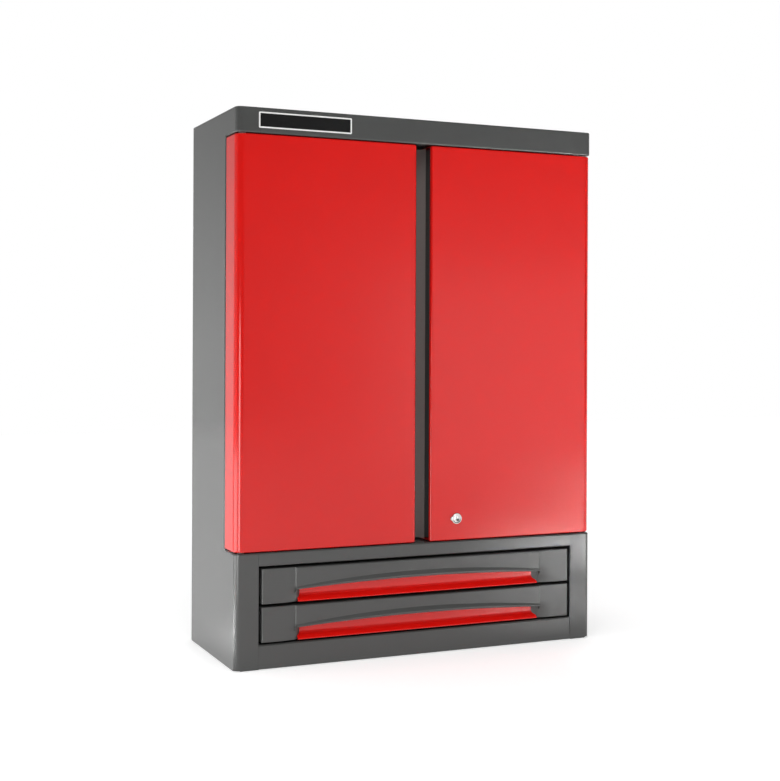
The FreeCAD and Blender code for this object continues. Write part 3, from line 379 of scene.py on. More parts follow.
def smooth(piece: bpy.types.Object, angle: float = FOLD_ANGLE) -> None:
    """Shade smooth between sharp edges, with normals weighted by face area.

    Args:
        piece: The piece, changed in place.
        angle: Sharp edges start at this angle, in degrees.
    """
    piece.data.polygons.foreach_set("use_smooth", [True] * len(piece.data.polygons))
    piece.data.set_sharp_from_angle(angle=math.radians(angle))
    weighted = piece.modifiers.new("weighted_normals", "WEIGHTED_NORMAL")
    weighted.keep_sharp = True
    weighted.weight = AREA_WEIGHT


def loft(
    name: str, sections: Sequence[Sequence[Sequence[float]]], ring: bool = False
) -> bpy.types.Object:
    """Skin closed sections of equal length.

    Args:
        name: Piece name.
        sections: Closed loops in millimetres, in order.
        ring: Whether the skin runs back to the first section, and both ends are capped if not.

    Returns:
        A closed piece with outward faces.
    """
    size, count = len(sections[0]), len(sections)
    vertices = [point for section in sections for point in section]
    faces: list[list[int]] = []
    for row in range(count if ring else count - 1):
        low, high = row * size, (row + 1) % count * size
        for column in range(size):
            after = (column + 1) % size
            faces.append([low + column, low + after, high + after, high + column])
    if not ring:
        faces.append(list(range(size)))
        faces.append([(count - 1) * size + k for k in range(size)])
    piece = make_piece(name, vertices, faces)
    tidy_shell(piece)
    return piece


def lathe(
    name: str,
    centre: Vector,
    profile: Sequence[tuple[float, float]],
    reach: Callable[[float, float], float],
    steps: int,
) -> bpy.types.Object:
    """Turn a closed profile about a line along Y.

    Args:
        name: Piece name.
        centre: Point on the axis in millimetres, at depth zero.
        profile: Closed loop of radius and depth along Y.
        reach: Radius after a lobe is added, from the plain radius and the angle.
        steps: Number of sections in a full turn.

    Returns:
        The closed piece.
    """
    sections = []
    for step in range(steps):
        angle = 2 * math.pi * step / steps
        section = []
        for radius, depth in profile:
            r = reach(radius, angle)
            section.append(
                (centre.x + r * math.cos(angle), centre.y + depth, centre.z + r * math.sin(angle))
            )
        sections.append(section)
    return loft(name, sections, ring=True)


def quarter_turn(steps: int = QUARTER_STEPS) -> list[tuple[float, float]]:
    """Sine and one-minus-cosine of the angles of a quarter turn, for rounded folds.

    Args:
        steps: Number of facets.

    Returns:
        Pairs from 0 to 90 degrees.
    """
    angles = [math.pi / 2 * k / steps for k in range(steps + 1)]
    return [(math.sin(a), 1 - math.cos(a)) for a in angles]


def geometry_tree(name: str, inputs: dict[str, str], output: str) -> bpy.types.NodeTree:
    """Start a geometry node tree with its named inputs and its output.

    Args:
        name: Tree name.
        inputs: Input name to kind of socket, such as "Vector".
        output: Name of the geometry output.

    Returns:
        The tree, still without nodes.
    """
    tree = bpy.data.node_groups.new(name, "GeometryNodeTree")
    for label, kind in inputs.items():
        tree.interface.new_socket(name=label, in_out="INPUT", socket_type=f"NodeSocket{kind}")
    tree.interface.new_socket(name=output, in_out="OUTPUT", socket_type="NodeSocketGeometry")
    return tree


def run_tree(piece: bpy.types.Object, tree: bpy.types.NodeTree, values: dict[str, object]) -> None:
    """Run a node tree on a piece and keep the result as its plain mesh.

    Args:
        piece: The piece, changed in place.
        tree: Geometry node tree.
        values: Input name to value; each is set by its socket's identifier.
    """
    modifier = piece.modifiers.new(tree.name, "NODES")
    modifier.node_group = tree
    for item in tree.interface.items_tree:
        if item.name in values:
            modifier[item.identifier] = values[item.name]
    graph = bpy.context.evaluated_depsgraph_get()
    mesh = bpy.data.meshes.new_from_object(piece.evaluated_get(graph))
    piece.modifiers.clear()
    piece.data = mesh


@dataclass
class Workshop:
    """The loaded frame and the mixed materials, and how a finished piece is handed over."""

    frame: dict[str, object]
    paints: dict[Slot, bpy.types.Material]
    flat_angle: float = 1.0
    bevel_angle: float = 40.0
    bevel_segments: int = 2

    def box(self, node: str) -> tuple[Vector, Vector]:
        """Lowest and highest corner of a CAD node, in millimetres."""
        low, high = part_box(node)
        return low / MM, high / MM

    def hand_over(
        self, piece: bpy.types.Object, body: Body, slot: Slot, replaced: Sequence[str] = ()
    ) -> None:
        """Paint a piece, fix it to its body and report it.

        Args:
            piece: The finished piece, at the origin.
            body: Body that it moves with.
            slot: Record slot of its finish.
            replaced: CAD nodes that it stands for.
        """
        if not piece.data.materials:
            piece.data.materials.append(self.paints[slot])
        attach(piece, body.value)
        if replaced:
            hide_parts(*replaced)
        LOG.info("%s: %d faces", piece.name, len(piece.data.polygons))

    def smoothed_copy(self, node: str, name: str) -> bpy.types.Object:
        """Copy a CAD node as a merged mesh with smooth folds.

        Args:
            node: CAD node.
            name: Name of the copy.

        Returns:
            The copy at the origin.
        """
        mesh = self.frame["nodes"][node].data.copy()
        mesh.name = name
        mesh.materials.clear()
        shell = bmesh.new()
        shell.from_mesh(mesh)
        bmesh.ops.remove_doubles(shell, verts=shell.verts, dist=MERGE)
        shell.to_mesh(mesh)
        shell.free()
        copy = bpy.data.objects.new(name, mesh)
        bpy.context.scene.collection.objects.link(copy)
        smooth(copy)
        return copy

    def eased_copy(self, node: str, name: str, ease: float) -> bpy.types.Object:
        """Copy a CAD node and ease its sharp edges.

        Args:
            node: CAD node.
            name: Name of the copy.
            ease: Width of the eased edge, in millimetres.

        Returns:
            The copy at the origin.
        """
        copy = self.smoothed_copy(node, name)
        copy.modifiers.clear()
        shell = bmesh.new()
        shell.from_mesh(copy.data)
        flat = math.radians(self.flat_angle)
        bmesh.ops.dissolve_limit(shell, angle_limit=flat, verts=shell.verts, edges=shell.edges)
        shell.to_mesh(copy.data)
        shell.free()
        bevel = copy.modifiers.new("eased_edges", "BEVEL")
        bevel.width = ease * MM
        bevel.segments = self.bevel_segments
        bevel.limit_method = "ANGLE"
        bevel.angle_limit = math.radians(self.bevel_angle)
        bevel.harden_normals = False
        smooth(copy, EASED_ANGLE)
        return copy

    def stand_in(self, node: str, name: str, body: Body, slot: Slot, ease: float = 0.0) -> None:
        """Put a smooth copy, or one with eased edges, in the place of a CAD node.

        Args:
            node: CAD node that is replaced.
            name: Name of the copy.
            body: Body that it moves with.
            slot: Record slot of its finish.
            ease: Width of the eased edges, in millimetres, or zero for none.
        """
        copy = self.eased_copy(node, name, ease) if ease else self.smoothed_copy(node, name)
        self.hand_over(copy, body, slot, [node])


@dataclass
class SidePanels:
    """Folded sides: stile, rounded corner, wall and back lip, turned in along the door notch."""

    shop: Workshop
    gauge: float = 1.2
    corner_radius: float = 10.0
    corner_steps: int = 18
    fold_radius: float = 3.0
    fold_turn: float = 90.0
    back_bend: float = 2.4
    back_lip: float = 15.0
    fold_flange: float = 8.0
    corner_relief: float = 2.0
    relief_run: float = 0.6
    top_turn: float = 60.0

    def path(self, side: Side, stile: float) -> list[tuple[Vector, Vector]]:
        """Plan of the panel from the stile's end round the corner to the wall.

        Args:
            side: Which panel.
            stile: Width of the stile.

        Returns:
            Points and outward normals, with Z zero.
        """
        low, high = self.shop.box(f"{side.word}_side_panel")
        outer = high.x if side is Side.RIGHT else low.x
        front = low.y
        radius = self.corner_radius
        centre = Vector((outer - side.value * radius, front + radius, 0))
        ahead = Vector((0, -1, 0))
        tangent = outer - side.value * radius
        points = [(Vector((outer - side.value * stile, front, 0)), ahead)]
        points.append((Vector((tangent - side.value * self.relief_run, front, 0)), ahead))
        for k in range(self.corner_steps + 1):
            angle = math.pi / 2 * k / self.corner_steps
            normal = Vector((side.value * math.sin(angle), -math.cos(angle), 0))
            points.append((centre + normal * radius, normal))
        beyond = centre + Vector((side.value * radius, self.relief_run, 0))
        points.append((beyond, Vector((side.value, 0, 0))))
        return points

    def build(self, side: Side) -> bpy.types.Object:
        """Build one panel.

        Args:
            side: Which panel.

        Returns:
            The sheet with its thickness.
        """
        low, high = self.shop.box(f"{side.word}_side_panel")
        deck = self.shop.box("mid_deck")[1].z
        fascia = self.shop.box("top_panel")[0].z
        radius = self.fold_radius
        stile = high.x - low.x
        outer = high.x if side is Side.RIGHT else low.x
        notch = self.shop.box("centre_post")[0].y
        back = high.y
        path = self.path(side, stile)
        outward = Vector((side.value, 0, 0))
        wall = Vector((outer, notch + radius, 0))
        bend = Vector((outer, back - self.back_bend, 0))
        columns = [*path, (wall, outward), (bend, outward)]
        last = len(columns) - 2
        for sine, rise in quarter_turn()[1:]:
            turned = Vector((-side.value * rise, sine, 0)) * self.back_bend
            normal = Vector((side.value * (1 - rise), sine, 0))
            columns.append((bend + turned, normal))
        lip_end = columns[-1][0] - outward * (self.back_lip - self.back_bend)
        columns.append((lip_end, Vector((0, 1, 0))))
        levels = [low.z, deck - radius, fascia + radius, high.z - radius]
        shell = bmesh.new()

        def row(z: float) -> list[bmesh.types.BMVert]:
            """Add one row of vertices to the shell.

            Args:
                z: Height of the row.

            Returns:
                A vertex for each column.
            """
            made = []
            for number, (point, _) in enumerate(columns):
                lifted = self.corner_relief if z == low.z and 1 < number < len(path) - 1 else 0.0
                made.append(shell.verts.new((point + Vector((0, 0, z + lifted))) * MM))
            return made

        rows = [row(z) for z in levels]
        for level in range(len(rows) - 1):
            start = last if level == 1 else 0
            for column in range(start, len(columns) - 1):
                shell.faces.new(
                    (
                        rows[level][column],
                        rows[level][column + 1],
                        rows[level + 1][column + 1],
                        rows[level + 1][column],
                    )
                )
        up, forward = Vector((0, 0, 1)), Vector((0, -1, 0))
        border = [(rows[1][k], columns[k][1], up) for k in range(last)]
        border.append((rows[1][last], outward, up + forward))
        border.append((rows[2][last], outward, forward - up))
        border += [(rows[2][k], columns[k][1], -up) for k in range(last - 1, -1, -1)]
        self.fold(shell, border, radius, self.fold_turn, self.fold_flange)
        top = [(rows[3][k], columns[k][1], up) for k in range(last + 2)]
        self.fold(shell, top, radius, self.top_turn, 0.0)
        bmesh.ops.recalc_face_normals(shell, faces=shell.faces)
        name = f"{side.word}_side_sheet"
        mesh = bpy.data.meshes.new(name)
        shell.to_mesh(mesh)
        shell.free()
        piece = bpy.data.objects.new(name, mesh)
        bpy.context.scene.collection.objects.link(piece)
        self.face_outwards(piece, outward)
        thick = piece.modifiers.new("thickness", "SOLIDIFY")
        thick.thickness = self.gauge * MM
        thick.offset = -1.0
        smooth(piece)
        return piece

    def fold(
        self,
        shell: bmesh.types.BMesh,
        border: Sequence[tuple[bmesh.types.BMVert, Vector, Vector]],
        radius: float,
        turn: float,
        flange: float,
    ) -> None:
        """Turn a border of the sheet inwards round a bend.

        Args:
            shell: Mesh under construction.
            border: Vertices with outward normals and the way to the edge.
            radius: Bend radius.
            turn: Angle of the bend, in degrees.
            flange: Straight length after the bend.
        """
        before = [vertex for vertex, _, _ in border]
        origins = [vertex.co.copy() for vertex in before]
        for step in range(1, QUARTER_STEPS + 2):
            angle = math.radians(min(step, QUARTER_STEPS) * turn / QUARTER_STEPS)
            extra = flange if step > QUARTER_STEPS else 0.0
            if step > QUARTER_STEPS and not flange:
                break
            made = []
            for origin, (_, normal, way) in zip(origins, border):
                inwards = radius * (1 - math.cos(angle)) + extra
                shift = way * (radius * math.sin(angle)) - normal * inwards
                made.append(shell.verts.new(origin + shift * MM))
            for k in range(len(border) - 1):
                shell.faces.new((before[k], before[k + 1], made[k + 1], made[k]))
            before = made

    def face_outwards(self, piece: bpy.types.Object, outward: Vector) -> None:
        """Flip an open sheet whose wall looks inwards.

        Args:
            piece: The sheet, changed in place.
            outward: The way its wall should face.
        """
        wall = max(piece.data.polygons, key=lambda face: face.area)
        if wall.normal.dot(outward) < 0:
            piece.data.flip_normals()

    def dress(self) -> None:
        """Build both panels and hand them over."""
        for side in Side:
            self.shop.hand_over(
                self.build(side), Body.CARCASS, Slot.CARCASS, [f"{side.word}_side_panel"]
            )


@dataclass
class Carcass:
    """Top with fascia, deck, base, back and the parts that stand inside."""

    shop: Workshop
    folded: tuple[str, ...] = (
        "top_panel",
        "mid_deck",
        "base_panel",
        "header_channel",
        "centre_post",
        "upper_shelf",
        "lower_shelf",
        "back_panel",
    )
    plated_sheet: tuple[str, ...] = ("left_runner_wall", "right_runner_wall")
    clip_ease: float = 0.4
    magnet_ease: float = 0.6
    rail_lean: float = 2.2
    rail_depth: float = 12.0

    def lean_rail(self, sheet: bpy.types.Object) -> None:
        """Lean the base rail back a little towards its top edge.

        Args:
            sheet: Copy of the base panel, changed in place.
        """
        front = min(vertex.co.y for vertex in sheet.data.vertices)
        top = max(vertex.co.z for vertex in sheet.data.vertices)
        for vertex in sheet.data.vertices:
            if vertex.co.y < front + self.rail_depth * MM:
                vertex.co.y += self.rail_lean * MM * vertex.co.z / top

    def dress(self) -> None:
        """Smooth the folded pans and ease the small parts."""
        for node in self.folded:
            copy = self.shop.smoothed_copy(node, f"{node}_sheet")
            if node == "base_panel":
                self.lean_rail(copy)
            self.shop.hand_over(copy, Body.CARCASS, Slot.CARCASS, [node])
        for node in self.plated_sheet:
            self.shop.stand_in(node, f"{node}_sheet", Body.CARCASS, Slot.ZINC)
        small_parts = (
            ("wall_bars", "drilled_wall_bars", Slot.ZINC, self.clip_ease),
            ("shelf_clips", "pressed_shelf_clips", Slot.ZINC, self.clip_ease),
            ("hinge_pins", "turned_hinge_pins", Slot.ZINC, 0.0),
            ("catch_magnets", "cased_magnets", Slot.MAGNET, self.magnet_ease),
        )
        for node, name, slot, ease in small_parts:
            self.shop.stand_in(node, name, Body.CARCASS, slot, ease)


@dataclass
class SlottedStrips:
    """Shelf uprights: steel strip with a row of slots, made by a node tree."""

    shop: Workshop
    strip_width: float = 20.0
    thickness: float = 2.0
    slot_width: float = 10.0
    slot_height: float = 4.0
    pitch: float = 25.0
    first_slot: float = 27.0

    def tree(self) -> bpy.types.NodeTree:
        """Build the node tree of one strip.

        Returns:
            The tree, with named inputs in metres.
        """
        names = {
            "Place": "Vector",
            "Size": "Vector",
            "Slot": "Vector",
            "First Slot": "Vector",
            "Pitch": "Vector",
            "Count": "Int",
        }
        tree = geometry_tree("slotted_strip", names, "Strip")
        given = add_node(tree, "NodeGroupInput").outputs
        strip = add_node(tree, "GeometryNodeMeshCube", links={"Size": given["Size"]})
        cutter = add_node(tree, "GeometryNodeMeshCube", links={"Size": given["Slot"]})
        row = add_node(
            tree,
            "GeometryNodeMeshLine",
            links={
                "Count": given["Count"],
                "Start Location": given["First Slot"],
                "Offset": given["Pitch"],
            },
        )
        cutters = add_node(
            tree, "GeometryNodeInstanceOnPoints", links={"Points": row, "Instance": cutter}
        )
        real = add_node(tree, "GeometryNodeRealizeInstances", links={"Geometry": cutters})
        slotted = add_node(
            tree,
            "GeometryNodeMeshBoolean",
            links={"Mesh 1": strip, "Mesh 2": real},
            operation="DIFFERENCE",
        )
        placed = add_node(
            tree,
            "GeometryNodeTransform",
            links={"Geometry": slotted, "Translation": given["Place"]},
        )
        whole = add_node(tree, "GeometryNodeRealizeInstances", links={"Geometry": placed})
        painted = add_node(
            tree,
            "GeometryNodeSetMaterial",
            {"Material": self.shop.paints[Slot.ZINC]},
            {"Geometry": whole},
        )
        add_node(tree, "NodeGroupOutput", links={"Strip": painted})
        return tree

    def dress(self) -> None:
        """Make the four strips in place of the CAD uprights."""
        low, high = self.shop.box("shelf_uprights")
        tree = self.tree()
        length = high.z - low.z
        count = int((length - 2 * self.pitch) // self.pitch) + 1
        number = 0
        for x in (low.x + self.thickness / 2, high.x - self.thickness / 2):
            for y in (low.y + self.strip_width / 2, high.y - self.strip_width / 2):
                number += 1
                piece = make_piece(f"slotted_upright_{number}", [], [])
                sizes = {
                    "Place": (x, y, (low.z + high.z) / 2),
                    "Size": (self.thickness, self.strip_width, length),
                    "Slot": (self.thickness * 2, self.slot_width, self.slot_height),
                    "First Slot": (0.0, 0.0, self.first_slot - length / 2),
                    "Pitch": (0.0, 0.0, self.pitch),
                }
                metres = {label: [c * MM for c in size] for label, size in sizes.items()}
                run_tree(piece, tree, {**metres, "Count": count})
                replaced = ["shelf_uprights"] if number == 1 else []
                self.shop.hand_over(piece, Body.CARCASS, Slot.ZINC, replaced)


@dataclass
class Fasteners:
    """Pan-head screws of the drawers and nuts of the hinge pins, set on points by a node tree."""

    shop: Workshop
    sides: int = 24
    hexagon: int = 6
    screw_radius: float = 4.5
    screw_height: float = 2.2
    socket_share: float = 0.55
    socket_depth: float = 1.3
    nut_radius: float = 7.5
    nut_height: float = 5.0
    thread_radius: float = 4.05
    thread_cut: float = 12.0

    def tree(self) -> bpy.types.NodeTree:
        """Build a tree that sets a round or hexagonal head with a hexagonal recess on each point.

        Returns:
            The tree, with named inputs in metres and radians.
        """
        names = {
            "Points": "Geometry",
            "Sides": "Int",
            "Radius": "Float",
            "Height": "Float",
            "Recess Sides": "Int",
            "Recess Radius": "Float",
            "Recess Depth": "Float",
            "Turn": "Vector",
        }
        tree = geometry_tree("fastener_heads", names, "Heads")
        given = add_node(tree, "NodeGroupInput").outputs
        head = add_node(
            tree,
            "GeometryNodeMeshCylinder",
            links={"Vertices": given["Sides"], "Radius": given["Radius"], "Depth": given["Height"]},
        )
        recess = add_node(
            tree,
            "GeometryNodeMeshCylinder",
            links={
                "Vertices": given["Recess Sides"],
                "Radius": given["Recess Radius"],
                "Depth": given["Recess Depth"],
            },
        )
        half = add_node(
            tree, "ShaderNodeMath", {1: 0.5}, {0: given["Height"]}, operation="MULTIPLY"
        )
        top = add_node(tree, "ShaderNodeCombineXYZ", links={"Z": half})
        raised = add_node(
            tree, "GeometryNodeTransform", links={"Geometry": recess, "Translation": top}
        )
        shaped = add_node(
            tree,
            "GeometryNodeMeshBoolean",
            links={"Mesh 1": head, "Mesh 2": raised},
            operation="DIFFERENCE",
        )
        turned = add_node(
            tree, "GeometryNodeTransform", links={"Geometry": shaped, "Rotation": given["Turn"]}
        )
        placed = add_node(
            tree,
            "GeometryNodeInstanceOnPoints",
            links={"Points": given["Points"], "Instance": turned},
        )
        real = add_node(tree, "GeometryNodeRealizeInstances", links={"Geometry": placed})
        painted = add_node(
            tree,
            "GeometryNodeSetMaterial",
            {"Material": self.shop.paints[Slot.ZINC]},
            {"Geometry": real},
        )
        add_node(tree, "NodeGroupOutput", links={"Heads": painted})
        return tree

    def centres(self, node: str) -> list[Vector]:
        """Middles of the separate solids of a CAD node, in millimetres.

        Args:
            node: Node that groups like solids.

        Returns:
            One point for each solid.
        """
        shell = bmesh.new()
        shell.from_mesh(self.shop.frame["nodes"][node].data)
        bmesh.ops.remove_doubles(shell, verts=shell.verts, dist=MERGE)
        left = set(shell.verts)
        found = []
        while left:
            front = [left.pop()]
            island = list(front)
            while front:
                vertex = front.pop()
                for edge in vertex.link_edges:
                    other = edge.other_vert(vertex)
                    if other in left:
                        left.discard(other)
                        front.append(other)
                        island.append(other)
            lows = Vector([min(v.co[i] for v in island) for i in range(3)])
            highs = Vector([max(v.co[i] for v in island) for i in range(3)])
            found.append((lows + highs) / (2 * MM))
        shell.free()
        return sorted(found, key=lambda point: tuple(point))

    def place(
        self, tree: bpy.types.NodeTree, name: str, node: str, body: Body, values: dict[str, object]
    ) -> None:
        """Set one head on the middle of each solid of a node and stand for the node.

        Args:
            tree: The fastener tree.
            name: Piece name.
            node: CAD node that is replaced.
            body: Body that carries the fasteners.
            values: Tree inputs by name.
        """
        piece = make_piece(name, self.centres(node), [])
        run_tree(piece, tree, values)
        smooth(piece)
        self.shop.hand_over(piece, body, Slot.ZINC, [node])

    def dress(self) -> None:
        """Make the drawer screws and the hinge nuts."""
        tree = self.tree()
        for word, body in (("upper", Body.UPPER_DRAWER), ("lower", Body.LOWER_DRAWER)):
            self.place(
                tree,
                f"{word}_drawer_pan_screws",
                f"{word}_drawer_screws",
                body,
                {
                    "Sides": self.sides,
                    "Radius": self.screw_radius * MM,
                    "Height": self.screw_height * MM,
                    "Recess Sides": self.hexagon,
                    "Recess Radius": self.screw_radius * self.socket_share * MM,
                    "Recess Depth": 2 * self.socket_depth * MM,
                    "Turn": (-math.pi / 2, 0.0, 0.0),
                },
            )
        self.place(
            tree,
            "hexagon_hinge_nuts",
            "hinge_nuts",
            Body.CARCASS,
            {
                "Sides": self.hexagon,
                "Radius": self.nut_radius * MM,
                "Height": self.nut_height * MM,
                "Recess Sides": self.sides,
                "Recess Radius": self.thread_radius * MM,
                "Recess Depth": self.thread_cut * MM,
                "Turn": (0.0, 0.0, 0.0),
            },
        )


@dataclass
class Doors:
    """Both hinged doors: red skins, dark liners, bushes and strike plates."""

    shop: Workshop
    plate_ease: float = 0.3
    skin_reach: float = 1.8
    edge_band: float = 4.0
    trim_margin: float = -2.0
    trim: tuple[tuple[float, float], ...] = (
        (22.40, -100.70),
        (21.75, -101.05),
        (17.50, -94.20),
        (15.30, -91.60),
        (12.20, -88.80),
        (9.80, -87.40),
        (9.20, -86.50),
        (9.60, -85.60),
        (12.40, -85.20),
        (15.30, -85.60),
        (15.30, -89.20),
        (15.70, -91.00),
        (16.70, -93.10),
        (18.15, -93.85),
    )

    def lengthen(self, skin: bpy.types.Object) -> None:
        """Bring the top and bottom edges of a skin closer to the fascia and the rail.

        Args:
            skin: Copy of the door skin, changed in place.
        """
        heights = [vertex.co.z for vertex in skin.data.vertices]
        low, high = min(heights), max(heights)
        for vertex in skin.data.vertices:
            if vertex.co.z > high - self.edge_band * MM:
                vertex.co.z += self.skin_reach * MM
            elif vertex.co.z < low + self.edge_band * MM:
                vertex.co.z -= self.skin_reach * MM

    def edge_trim(self, side: Side, body: Body, finish: bpy.types.Material) -> None:
        """Build the pale strip that lines the rear half of the finger groove along a free edge; its
        pale colour is painted light in the shaded gap.

        Args:
            side: Which door.
            body: The door's body.
            finish: Material of the strip.
        """
        low, high = self.shop.box(f"{side.word}_door_liner")
        ends = (low.z + self.trim_margin, high.z - self.trim_margin)
        sections = [[(side.value * x, y, z) for x, y in self.trim] for z in ends]
        strip = loft(f"{side.word}_edge_trim", sections)
        strip.data.materials.append(finish)
        smooth(strip, EASED_ANGLE)
        self.shop.hand_over(strip, body, Slot.MOULDING)

    def dress(self) -> None:
        """Dress the doors."""
        # A pale strip whose colour is painted light, so that it stays visible in the shade of the
        # gap.
        finish = MouldedAbs("painted_light_edge_trim", "#a39a97", "#9d9491", roughness=0.45).material()
        for side, body in ((Side.LEFT, Body.LEFT_DOOR), (Side.RIGHT, Body.RIGHT_DOOR)):
            word = side.word
            skin = self.shop.smoothed_copy(f"{word}_door_skin", f"{word}_door_sheet")
            self.lengthen(skin)
            self.shop.hand_over(skin, body, Slot.DOOR, [f"{word}_door_skin"])
            self.edge_trim(side, body, finish)
            shop, ease = self.shop, self.plate_ease
            shop.stand_in(f"{word}_door_liner", f"{word}_door_tray", body, Slot.CARCASS)
            shop.stand_in(f"{word}_door_bushes", f"{word}_nylon_bushes", body, Slot.NYLON)
            shop.stand_in(f"{word}_strike_plates", f"{word}_catch_plates", body, Slot.ZINC, ease)


@dataclass
class Lock:
    """Cam lock: polished rosette with a small lobe, plug with an upright keyway, nut and cam."""

    shop: Workshop
    rosette_radius: float = 10.3
    rim_bevel: float = 0.8
    dish: float = 0.5
    barrel: float = 9.0
    bore_gap: float = 0.05
    lip_inside: float = 1.2
    lip_outside: float = 1.8
    turned_steps: int = 96
    lobe_radius: float = 4.0
    lobe_reach: float = 9.3
    small_ease: float = 0.35

    def rosette(self) -> bpy.types.Object:
        """Rosette and barrel turned in one piece.

        Returns:
            The closed piece.
        """
        low, high = self.shop.box("lock_housing")
        plug_low, plug_high = self.shop.box("lock_plug")
        front = self.shop.box("right_door_skin")[0].y
        centre = Vector(((plug_low.x + plug_high.x) / 2, front, (plug_low.z + plug_high.z) / 2))
        face = low.y - front
        end = high.y - front
        bore = (plug_high.z - plug_low.z) / 2 + self.bore_gap
        outer = self.rosette_radius
        profile = [
            (bore, face + self.dish),
            (bore + self.lip_inside, face + self.dish),
            (bore + self.lip_outside, face),
            (outer - self.rim_bevel, face),
            (outer - self.rim_bevel * ROUND, face + self.rim_bevel * ROUND),
            (outer, face + self.rim_bevel),
            (outer, 0.0),
            (self.barrel, 0.0),
            (self.barrel, end),
            (bore, end),
        ]

        def reach(radius: float, angle: float) -> float:
            """Carry the rim out round the lobe.

            Args:
                radius: Radius of the plain rosette.
                angle: Angle round the axis.

            Returns:
                Radius with the lobe.
            """
            if radius <= self.barrel:
                return radius
            offset = self.lobe_reach
            side = math.cos(angle - math.pi)
            across = math.sin(angle - math.pi) * offset
            trim = outer - radius
            limit = self.lobe_radius - trim
            if side <= 0 or abs(across) >= limit:
                return radius
            return max(radius, side * offset + math.sqrt(limit**2 - across**2))

        return lathe("lock_rosette", centre, profile, reach, self.turned_steps)

    def dress(self) -> None:
        """Dress the lock."""
        rosette = self.rosette()
        smooth(rosette, EASED_ANGLE)
        self.shop.hand_over(rosette, Body.RIGHT_DOOR, Slot.CHROME, ["lock_housing"])
        small_parts = (
            ("lock_plug", "lock_cylinder", Body.LOCK, Slot.CHROME, 0.0),
            ("lock_nut", "hexagon_lock_nut", Body.RIGHT_DOOR, Slot.ZINC, self.small_ease),
            ("lock_cam", "pressed_cam", Body.LOCK, Slot.ZINC, self.small_ease),
            ("cam_screw", "cam_fixing_screw", Body.LOCK, Slot.ZINC, self.small_ease),
        )
        for node, name, body, slot, ease in small_parts:
            self.shop.stand_in(node, name, body, slot, ease)


@dataclass
class NamePlate:
    """Blank black plate on the fascia with a pale raised rim."""

    shop: Workshop
    rim: float = 2.5
    rim_stand: float = 0.3
    rim_ease: float = 0.15
    corner: float = 2.0
    least_corner: float = 0.2
    plate_inset: float = 0.3
    plate_ease: float = 0.1
    low_trim: float = 2.2

    def outline(self, inset: float) -> list[tuple[float, float]]:
        """Rounded rectangle of the plate's face, as X and Z.

        Args:
            inset: Distance inside the plate's edge.

        Returns:
            Points in order.
        """
        low, high = self.shop.box("name_plate")
        low = low + Vector((0, 0, self.low_trim))
        radius = max(self.corner - inset, self.least_corner)
        centres = [
            (high.x - inset - radius, high.z - inset - radius, 0.0),
            (low.x + inset + radius, high.z - inset - radius, 90.0),
            (low.x + inset + radius, low.z + inset + radius, 180.0),
            (high.x - inset - radius, low.z + inset + radius, 270.0),
        ]
        points = []
        for x, z, start in centres:
            for step in range(QUARTER_STEPS + 1):
                angle = math.radians(start + 90 * step / QUARTER_STEPS)
                points.append((x + radius * math.cos(angle), z + radius * math.sin(angle)))
        return points

    def sections(
        self, rings: Sequence[tuple[float, float]]
    ) -> list[list[tuple[float, float, float]]]:
        """Draw the plate's outline as rings.

        Args:
            rings: Inset and depth of each ring.

        Returns:
            A closed loop of points for each ring.
        """
        return [[(x, depth, z) for x, z in self.outline(inset)] for inset, depth in rings]

    def dress(self) -> None:
        """Make the plate and the rim round it."""
        low, high = self.shop.box("name_plate")
        face = low.y + self.rim_stand
        inset, ease = self.plate_inset, self.plate_ease
        rings = [(inset, high.y), (inset, face), (inset + ease, face - ease)]
        plate = loft("blank_name_plate", self.sections(rings))
        smooth(plate)
        self.shop.hand_over(plate, Body.CARCASS, Slot.PLATE, ["name_plate"])
        ease = self.rim_ease
        rings = [
            (0.0, high.y),
            (0.0, low.y + ease),
            (ease, low.y),
            (self.rim - ease, low.y),
            (self.rim, low.y + ease),
            (self.rim, high.y),
        ]
        rim = loft("name_plate_rim", self.sections(rings), ring=True)
        # A clean white line round the black plate.
        finish = MouldedAbs("white_plate_rim", "#f8f8f6", "#f4f4f2", roughness=0.4)
        rim.data.materials.append(finish.material())
        smooth(rim)
        self.shop.hand_over(rim, Body.CARCASS, Slot.NYLON)


